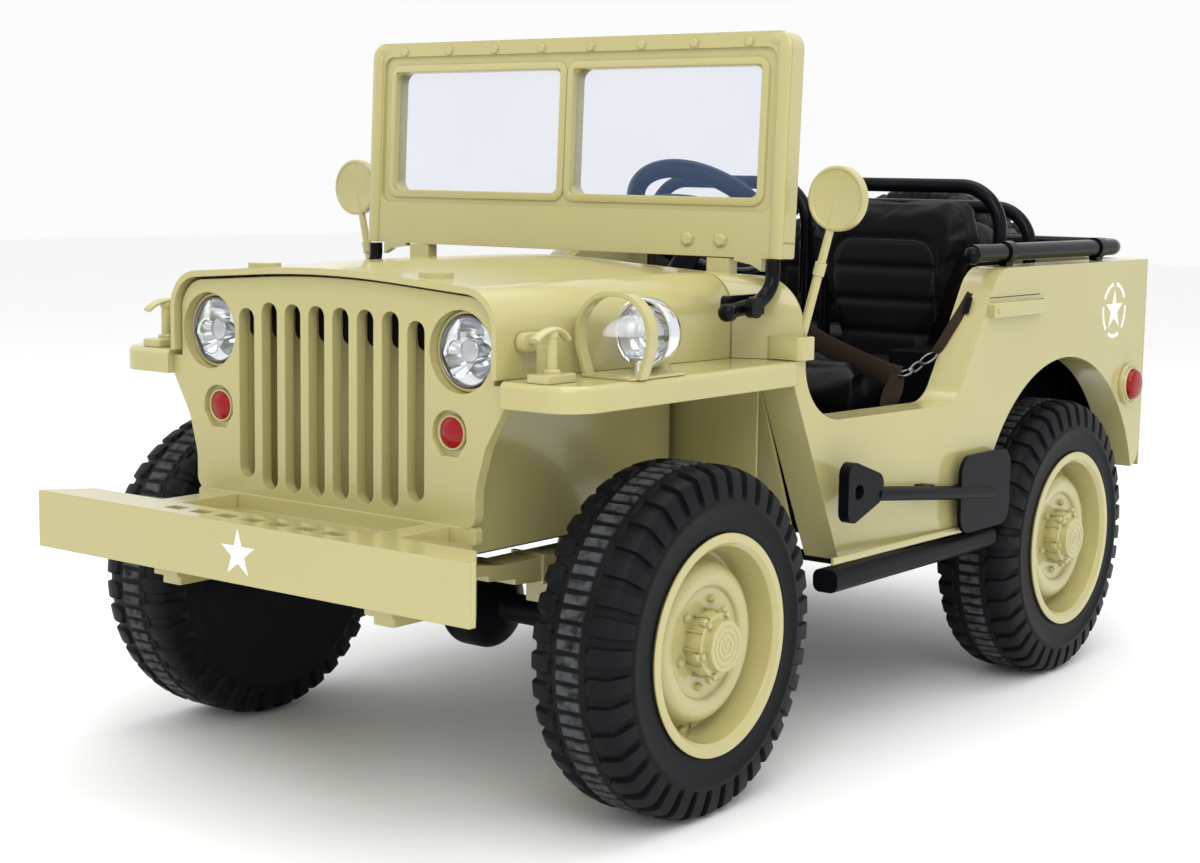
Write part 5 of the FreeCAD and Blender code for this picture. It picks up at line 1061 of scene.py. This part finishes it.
class CAR_OT_screen_trim(Operator):
    """Makes the windshield's beads, posts, bolts, corners and arms"""

    bl_idname = "ride_on_car.screen_trim"
    bl_label = "Windshield Trim"

    def execute(self, context):
        self.beads()
        self.bolts()
        self.corners()
        for name, sign in SIDES:
            self.arm(name, sign)
        return {"FINISHED"}

    def beads(self):
        """A bead round each window and a half-round post beside it that bends in at the top."""
        shape = Shape()
        window, sill = 150.5, 147.5
        rings = ((139.9, 76.9, 3, -2), (139.9, 76.9, 3, -11), (141, 78, 4, -12.2),
                 (147.6, 84.6, 14, -12.2), (149.6, 86.6, 16, -11.2), (150.6, 87.6, 17, -8.2))
        bend = np.linspace(0, math.pi / 2, 9)
        post = [(322.6, -12.3, z) for z in np.linspace(0.4, 238, 8)]
        post += [(313.8 + 8.8 * math.cos(a), -12.3 + 1.5 * a, 245 + 8.8 * math.sin(a))
                 for a in bend]
        post += [(304, -9, 253.8), (296, -7, 253.8)]
        half_round = [(math.sin(a) * 4.6, math.cos(a) * 9.2) for a in np.linspace(0, math.pi, 12)]
        for sign in (1, -1):
            shape.grid(np.stack([
                screen_loop(rounded_box(half_width, half_height, corner, 7)
                            + (sign * window, sill), depth)
                for half_width, half_height, corner, depth in rings]),
                wrap_rows=True, wrap_columns=True)
            shape.swept(np.array(half_round) * MILLI,
                        screen_place(np.array(post) * (sign, 1, 1)), SCREEN_TURN @ (0, -1, 0))
        piece("window_beads", shape, "sand_plastic", 40, body="windshield")

    def bolts(self):
        """Eight small bolts along the top and two larger ones on the lower bar."""
        shape = Shape()
        spots = [(x, 251, 0.72) for x in np.linspace(-275, 272, 8)]
        spots += [(196, 20, 1), (244, 20, 1)]
        for x, z, share in spots:
            centre = screen_place([(x, -12.2, z)])[0]
            for radius, depth in ((9.6, 2.6), (8.0, 4.8)):
                shape.prism(ring_of(6, radius * share * MILLI, 0.3), centre,
                            SCREEN_TURN @ FACES_FRONT, depth * share * MILLI, 0.22)
        piece("windshield_bolts", shape, "sand_plastic", 30, body="windshield")

    def corners(self):
        """Fills the frame's two bottom corners out to a small radius."""
        shape = Shape()
        turn = np.linspace(1.5 * math.pi, 2 * math.pi, 9)
        edge = np.column_stack([312 + 20 * np.cos(turn), 20 + 20 * np.sin(turn)])
        line = np.concatenate([edge[::-1], [(312, 0.1), (328, 0.1), (331, 1.2), (331.9, 4)]])
        for sign in (1, -1):
            shape.grid(np.stack([screen_loop(line * (sign, 1), depth)
                                 for depth in (-12.5, 12.5)]), wrap_columns=True, caps=True)
        piece("windshield_corners", shape, "sand_plastic", 25, body="windshield")

    def arm(self, name, sign):
        """One bent tube with the ball end and the turned nut beside it."""
        route = np.array([(0.319, -0.266, 0.602), (0.319, -0.266, 0.586),
                          (0.319, -0.272, 0.570), (0.318, -0.288, 0.557),
                          (0.318, -0.312, 0.551), (0.318, -0.340, 0.548),
                          (0.318, -0.3615, 0.5455)])
        shape = Shape().swept(ring_of(28, 8.6 * MILLI), smooth_route(route * (sign, 1, 1), 44),
                              (1, 0, 0))
        ball = np.linspace(0.05, math.pi / 2, 8)
        shape.turned(np.concatenate([np.column_stack([-8 * np.cos(ball), 10.4 * np.sin(ball)]),
                                     [(8, 10.4), (10, 8.6)]]) * MILLI,
                     (sign * 0.318, -0.3595, 0.5455), "Y", 32)
        piece("windshield_arm_" + name, shape, "black_gloss", 50,
              replaces=["windshield_arms"], body="windshield")


class CAR_OT_latches(Operator):
    """Makes the hood latches and their lugs"""

    bl_idname = "ride_on_car.latches"
    bl_label = "Latches"

    def execute(self, context):
        low, high = box_of("hood_latches")
        around = np.linspace(0, 2 * math.pi, 14, endpoint=False)
        wing = np.column_stack([np.cos(around) * 6.4, np.sin(around) * 3.2]) * MILLI
        arch = np.array([(0, -28, 43.5), (0, -20, 49), (0, -8, 53), (0, 4, 54), (0, 15, 51),
                         (0, 25, 43)]) * MILLI
        for name, sign in SIDES:
            place = np.array((sign * 0.299, (low[1] + high[1]) / 2, low[2]))
            shape = Shape().prism(rounded_box(0.015, 0.025, 0.005), place, UPRIGHT, 0.009, 0.1)
            shape.turned(np.array([(7, 9.5), (12, 9.5), (13.5, 8.0), (13.5, 5.6), (45, 5.4),
                                   (46, 6.6), (51, 6.6), (54, 4)]) * MILLI, place, "Z", 32)
            shape.prism(rounded_box(0.008, 0.009, 0.002), place + (-sign * 0.016, 0.012, 0.006),
                        UPRIGHT, 0.030, 0.1)
            shape.swept(wing, smooth_route(arch, 24) + place, (1, 0, 0))
            piece("hood_latch_" + name, shape, "sand_plastic", 40, 0.6 * MILLI,
                  ["hood_latches"])
            lug = Shape().prism(rounded_box(0.0245, 0.0105, 0.0102, 8),
                                (sign * 0.2555, -0.630, 0.5245), outwards(sign), 0.010, 0.12)
            lug.prism(ring_of(16, 4.6 * MILLI), (sign * 0.2655, -0.641, 0.5265),
                      outwards(sign), 0.0014, 0.3)
            piece("hood_lug_" + name, lug, "sand_plastic", 35, 0.6 * MILLI, body="hood")
        return {"FINISHED"}


class CAR_OT_trim(Operator):
    """Makes the mirrors, side trim, rail ends, coil springs, painted shade in the grille slots and
    front panels
    """

    bl_idname = "ride_on_car.trim"
    bl_label = "Trim"

    def execute(self, context):
        for name, sign in SIDES:
            self.mirror(name, sign)
            self.side(name, sign)
            self.spring(name, sign)
        self.grille_slot_shade()
        self.apron()
        return {"FINISHED"}

    def apron(self):
        """Lip under the grille, tray to the bumper and panels behind the front wheels."""
        shape = Shape().prism(rounded_box(0.2165, 0.0105, 0.006), (0, -0.659, 0.3165),
                              FACES_FRONT, 0.0135, 0.1)
        shape.prism(rounded_box(0.205, 0.0575, 0.004), (0, -0.7255, 0.3035), UPRIGHT, 0.0045,
                    0.05)
        # the panel behind a wheel, the sleeve on a chassis horn and its two-step foot
        blocks = (
            ((0.067, 0.070, 0.003), (0.235, -0.2635, 0.388), FACES_FRONT, 0.003, 0.05),
            ((0.0168, 0.044, 0.002), (0.165, -0.716, 0.286), UPRIGHT, 0.0387, 0.03),
            ((0.020, 0.037, 0.003), (0.166, -0.730, 0.240), UPRIGHT, 0.050, 0.05),
            ((0.015, 0.026, 0.003), (0.166, -0.732, 0.229), UPRIGHT, 0.015, 0.1),
        )
        for sign in (1, -1):
            for outline, (x, y, z), turn, depth, edge in blocks:
                shape.prism(rounded_box(*outline), (sign * x, y, z), turn, depth, edge)
        piece("front_panels", shape, "sand_plastic", 35, 0.8 * MILLI)

    def grille_slot_shade(self):
        """Dark rounded blocks in the backing box, one behind the top of each slot: painted shade
        inside the slots.
        """
        shape = Shape()
        slots, pitch = 8, 37.6 * MILLI
        for number in range(slots):
            shape.prism(rounded_box(0.0135, 0.022, 0.010),
                        ((number - (slots - 1) / 2) * pitch, -0.6515, 0.530), FACES_FRONT,
                        0.0035, 0.06)
        # Black finish as painted shade where the grille slots are dark.
        piece("radiator_slot_shade", shape, "black_plastic", 30)

    def mirror(self, name, sign):
        """Bracket block, stepped stem and rimmed disc of one mirror."""
        start = np.array((sign * 0.343, -0.238, 0.513))
        end = np.array((sign * 0.385, -0.234, 0.675))
        steps = ((0, 5.6), (0.448, 5.4), (0.45, 6.9), (0.54, 6.9), (0.542, 5.0), (1, 4.6))
        angle = np.linspace(0, 2 * math.pi, 24, endpoint=False)
        along = (end - start) / np.linalg.norm(end - start)
        side = np.cross(along, (0, 1, 0))
        side /= np.linalg.norm(side)
        other = np.cross(along, side)
        stem = np.stack([start + (end - start) * share + radius * MILLI
                         * (np.cos(angle)[:, None] * side + np.sin(angle)[:, None] * other)
                         for share, radius in steps])
        shape = Shape().grid(stem, wrap_columns=True, caps=True)
        shape.turned(np.array([(-4.4, 0.5), (-4.4, 32), (-5.0, 33.4), (-6.2, 34.2), (-6.2, 36.4),
                               (-5.2, 37.6), (-2, 38), (3.4, 38), (4.4, 37), (4.4, 0.5)])
                     * MILLI, end, "Y", 72)
        middle = np.array((sign * 0.3335, -0.246, 0.487))
        shape.prism(rounded_box(0.0255, 0.0165, 0.0075), middle, UPRIGHT, 0.027, 0.05)
        piece("mirror_" + name, shape, "sand_plastic", 40, replaces=["mirrors"])
        glass = Shape().turned(np.array([(4.2, 0.5), (5.2, 0.5), (5.2, 34.5), (4.2, 35.2)])
                               * MILLI, end, "Y", 64)
        piece("mirror_glass_" + name, glass, "bowl", 40)

    def side(self, name, sign):
        """Bead, box bar and slots on one side of the tub, and the rear rail's round end; the slots
        are thin black films of painted shade.
        """
        outward, face = outwards(sign), sign * SIDE_FACE
        bead = smooth_route([(face, -0.222, 0.2475), (face, 0.0, 0.2455),
                             (face, 0.188, 0.2435)], 20)
        shape = Shape().swept(np.array([(-0.5, -4.4), (2.2, -4.0), (3.4, -1.8), (3.4, 1.8),
                                        (2.2, 4.0), (-0.5, 4.4)]) * MILLI, bead, (sign, 0, 0))
        shape.prism(rounded_box(0.075, 0.0095, 0.003), (face, 0.231, 0.5285), outward,
                    0.0105, 0.05)
        shape.prism(ring_of(14, 4.4 * MILLI), (face + sign * 0.0105, 0.169, 0.5285), outward,
                    0.0016, 0.3)
        piece("side_trim_" + name, shape, "sand_plastic", 35, 0.8 * MILLI)
        # Thin black films: painted shade where the slots and the line over the box bar are dark.
        dark = Shape()
        for y, z, half, tall in ((0.307, 0.5365, 0.014, 0.0016), (0.235, 0.5445, 0.075, 0.0005)):
            dark.prism(rounded_box(half, tall, tall * 0.4), (face, y, z), outward, 0.0003)
        slope = np.array((0, 14, 28)) / 31.3
        turn = np.column_stack([(1, 0, 0), slope, np.cross((1, 0, 0), slope)])
        dark.prism(rounded_box(0.0045, 0.012, 0.002), (sign * 0.356, 0.150, 0.534), turn, 0.0010)
        piece("side_slot_shade_" + name, dark, "black_plastic", 30)
        low = box_of("rear_rail")[0]
        ball = np.linspace(0.05, math.pi - 0.05, 16)
        tip = Shape().turned(np.column_stack([-12.6 * np.cos(ball), 12.6 * np.sin(ball)]) * MILLI,
                             (sign * 0.358, low[1] + 4 * MILLI, 0.600), "Y", 32)
        piece("rail_tip_" + name, tip, "black_gloss", 60)

    def spring(self, name, sign):
        """The red coil in one rear wheel arch; its end turns draw in."""
        turns = np.linspace(0, 2 * math.pi * 8, 200)
        wide = np.clip(np.minimum(turns, turns[-1] - turns) / 2, 0.6, 1) * 6.6
        route = np.column_stack([np.cos(turns) * wide, np.sin(turns) * wide,
                                 turns / turns[-1] * 56]) * MILLI
        route += (sign * 0.330, 0.604, 0.383)
        coil = Shape().swept(ring_of(10, 1.5 * MILLI), route, (0, 0, 1))
        piece("arch_spring_" + name, coil, "spring", 60)


# Belt

def strap(name, route, half_width, across, count):
    """Webbing along a smooth route; its map runs across and along it, in tenths of a metre."""
    across = smooth_route(across, count)
    route = smooth_route(route, count)
    profile = np.array([(-1, -0.4), (-0.9, 0.6), (0.9, 0.6), (1, -0.4), (0.9, -0.6),
                        (-0.9, -0.6)])
    profile = profile * (half_width, 1.1 * MILLI)
    ahead = np.gradient(route, axis=0)
    ahead /= np.linalg.norm(ahead, axis=1, keepdims=True)
    side = across - ahead * np.sum(across * ahead, 1, keepdims=True)
    side /= np.linalg.norm(side, axis=1, keepdims=True)
    up = np.cross(side, ahead)
    points = (route[:, None] + side[:, None] * profile[None, :, :1]
              + up[:, None] * profile[None, :, 1:])
    shape = Shape().grid(points, wrap_columns=True, caps=True)
    thing = piece(name, shape, "belt", 50)
    length = np.concatenate([[0], np.cumsum(np.linalg.norm(np.diff(route, axis=0), axis=1))])
    layer = thing.data.uv_layers.new(name="webbing")
    ends = np.zeros(len(thing.data.loops), int)
    thing.data.loops.foreach_get("vertex_index", ends)
    spots = np.stack([np.tile(profile[:, 0], count) * 10, np.repeat(length, len(profile)) * 10], 1)
    layer.data.foreach_set("uv", spots[ends].astype(np.float32).ravel())


class CAR_OT_belts(Operator):
    """Makes the lap belts with their snap hooks"""

    bl_idname = "ride_on_car.belts"
    bl_label = "Belts"

    def execute(self, context):
        straps = (
            ("belt_lap_", 15.5, 60,
             ((305, 64, 441), (285, 70, 443), (250, 80, 451), (200, 98, 462), (150, 116, 476),
              (95, 156, 492), (45, 218, 508), (24, 266, 516)),
             ((0.1, 0.2, 0.6), (0.05, 0.1, 1), (0, 0, 1), (0, 0, 1), (0, 0, 1), (0, 0, 1),
              (0, 0, 1), (0, 0, 1))),
            ("belt_tail_", 12, 40,
             ((304, 62, 444), (303, 58, 432), (301, 50, 415), (300, 46, 398), (301, 44, 384)),
             ((0.3, 0.9, 0.2), (0.6, 0.8, 0), (0.9, 0.5, 0), (0.5, 0.9, 0), (0.2, 1, 0))),
            ("belt_upper_", 6.5, 40,
             ((331, 111, 471), (337, 117, 484), (345, 132, 509), (350, 152, 532),
              (354, 163, 549)),
             ((0.5, 0.6, 0.3), (0.7, 0.6, 0), (0.7, 0.7, 0), (0.7, 0.6, 0), (0.8, 0.6, 0))),
        )
        for name, sign in SIDES:
            flip = np.array((sign, 1, 1), float)
            for part, half_width, count, route, across in straps:
                strap(part + name, np.array(route) * MILLI * flip, half_width * MILLI,
                      np.array(across) * flip, count)
            shape = Shape()
            links = (((306, 64, 443), (314, 80, 450), 7.5), ((313, 78, 449), (321, 97, 459), 5.5),
                     ((320, 94, 458), (332, 112, 472), 8.0))
            for number, (start, end, half) in enumerate(links):
                start, end = (np.array(p) * MILLI * flip for p in (start, end))
                long = (end - start) / 2
                wide = np.cross(long / np.linalg.norm(long),
                                ((0, -0.3, 1), (1, 0, 0), (0, -0.6, 1))[number])
                wide = wide / np.linalg.norm(wide) * half * MILLI
                angle = np.linspace(0, 2 * math.pi, 36, endpoint=False)
                route = ((start + end) / 2 + np.cos(angle)[:, None] * long
                         + np.sin(angle)[:, None] * wide)
                shape.swept(ring_of(8, 1.5 * MILLI), route, np.cross(long, wide) * 1e4,
                            closed=True)
            middle = np.array((313.5, 79, 449.5)) * MILLI * flip
            ball = np.linspace(0.1, math.pi - 0.1, 10)
            shape.turned(np.column_stack([-6 * np.cos(ball), 4.6 * np.sin(ball)]) * MILLI,
                         middle, "Y", 20)
            piece("belt_hook_" + name, shape, "hook", 50)
        return {"FINISHED"}


# Stage

class CAR_OT_stage(Operator):
    """Sets the floor, the lights and the camera"""

    bl_idname = "ride_on_car.stage"
    bl_label = "Stage"

    def execute(self, context):
        scene = context.scene
        half, focal_pixels, picture_width = 14.0, 2035.3, 1200
        floor = bpy.data.meshes.new("floor")
        floor.from_pydata([(-half, -half, 0), (half, -half, 0), (half, half, 0), (-half, half, 0)],
                          [], [(0, 1, 2, 3)])
        ground = linked("floor", floor)
        paper = Finish("floor_finish")
        tint = paper.mix(paper.noise(3.0), (0.93, 0.93, 0.93, 1), (0.96, 0.96, 0.96, 1))
        floor.materials.append(paper.feed(base_color=tint, roughness=paper.noise(9.0) * 0.1 + 0.6))
        world = bpy.data.worlds.new("studio")
        world.use_nodes = True
        sky = next(n for n in world.node_tree.nodes if n.type == "BACKGROUND")
        sky.inputs["Color"].default_value = (1, 1, 1, 1)
        sky.inputs["Strength"].default_value = 0.97
        scene.world = world
        lamps = (
            ("key_light", (2.2, -2.6, 3.2), 2.6, 66),
            ("fill_light", (-3.2, -1.8, 2.2), 2.8, 10),
            ("top_light", (0.2, 0.4, 3.8), 3.2, 60),
        )
        for name, place, size, power in lamps:
            lamp = bpy.data.lights.new(name, "AREA")
            lamp.size = size
            lamp.energy = power
            thing = linked(name, lamp)
            thing.location = place
            aim = Vector((0, 0, 0.35)) - Vector(place)
            thing.rotation_mode = "QUATERNION"
            thing.rotation_quaternion = aim.to_track_quat("-Z", "Y")
        lens = bpy.data.cameras.new("camera")
        lens.sensor_width = 36.0
        lens.lens = focal_pixels / picture_width * lens.sensor_width
        lens.shift_x = -0.0126
        lens.shift_y = 0.00275
        lens.clip_start = 0.1
        lens.clip_end = 100
        camera = linked("camera", lens)
        right = (0.79491437, 0.6065313, 0.01519618)
        up = (-0.08989644, 0.09297362, 0.99160201)
        back = (0.60002481, -0.78960477, 0.12843107)
        place = (1.6114, -2.2658, 0.7024)
        rows = [[right[i], up[i], back[i], place[i]] for i in range(3)] + [[0, 0, 0, 1]]
        camera.matrix_world = Matrix(rows)
        scene.camera = camera
        scene.view_settings.view_transform = "Standard"
        return {"FINISHED"}


class CAR_PT_panel(Panel):
    """Lists the sizes, colours and steps"""

    bl_idname = "CAR_PT_panel"
    bl_label = "Ride-on Car"
    bl_space_type = "VIEW_3D"
    bl_region_type = "UI"
    bl_category = "Ride-on Car"

    def draw(self, context):
        for group in (context.scene.car_colours, context.scene.car_sizes):
            for name in group.bl_rna.properties.keys():
                if name not in ("rna_type", "name"):
                    self.layout.prop(group, name)
        for step in STEPS:
            self.layout.operator(step.bl_idname)


STEPS = (CAR_OT_finishes, CAR_OT_tyres, CAR_OT_wheel_fittings, CAR_OT_front_seats, CAR_OT_bench,
         CAR_OT_prints, CAR_OT_headlamps, CAR_OT_small_lamps, CAR_OT_spotlight,
         CAR_OT_screen_trim, CAR_OT_latches, CAR_OT_trim, CAR_OT_belts, CAR_OT_stage)
CLASSES = (CarColours, CarSizes, *STEPS, CAR_PT_panel)


def register():
    for each in CLASSES:
        bpy.utils.register_class(each)
    bpy.types.Scene.car_colours = PointerProperty(type=CarColours)
    bpy.types.Scene.car_sizes = PointerProperty(type=CarSizes)


def unregister():
    del bpy.types.Scene.car_sizes
    del bpy.types.Scene.car_colours
    for each in reversed(CLASSES):
        bpy.utils.unregister_class(each)


def main():
    register()
    for step in STEPS:
        group, name = step.bl_idname.split(".")
        getattr(getattr(bpy.ops, group), name)()


if __name__ == "__main__":
    main()
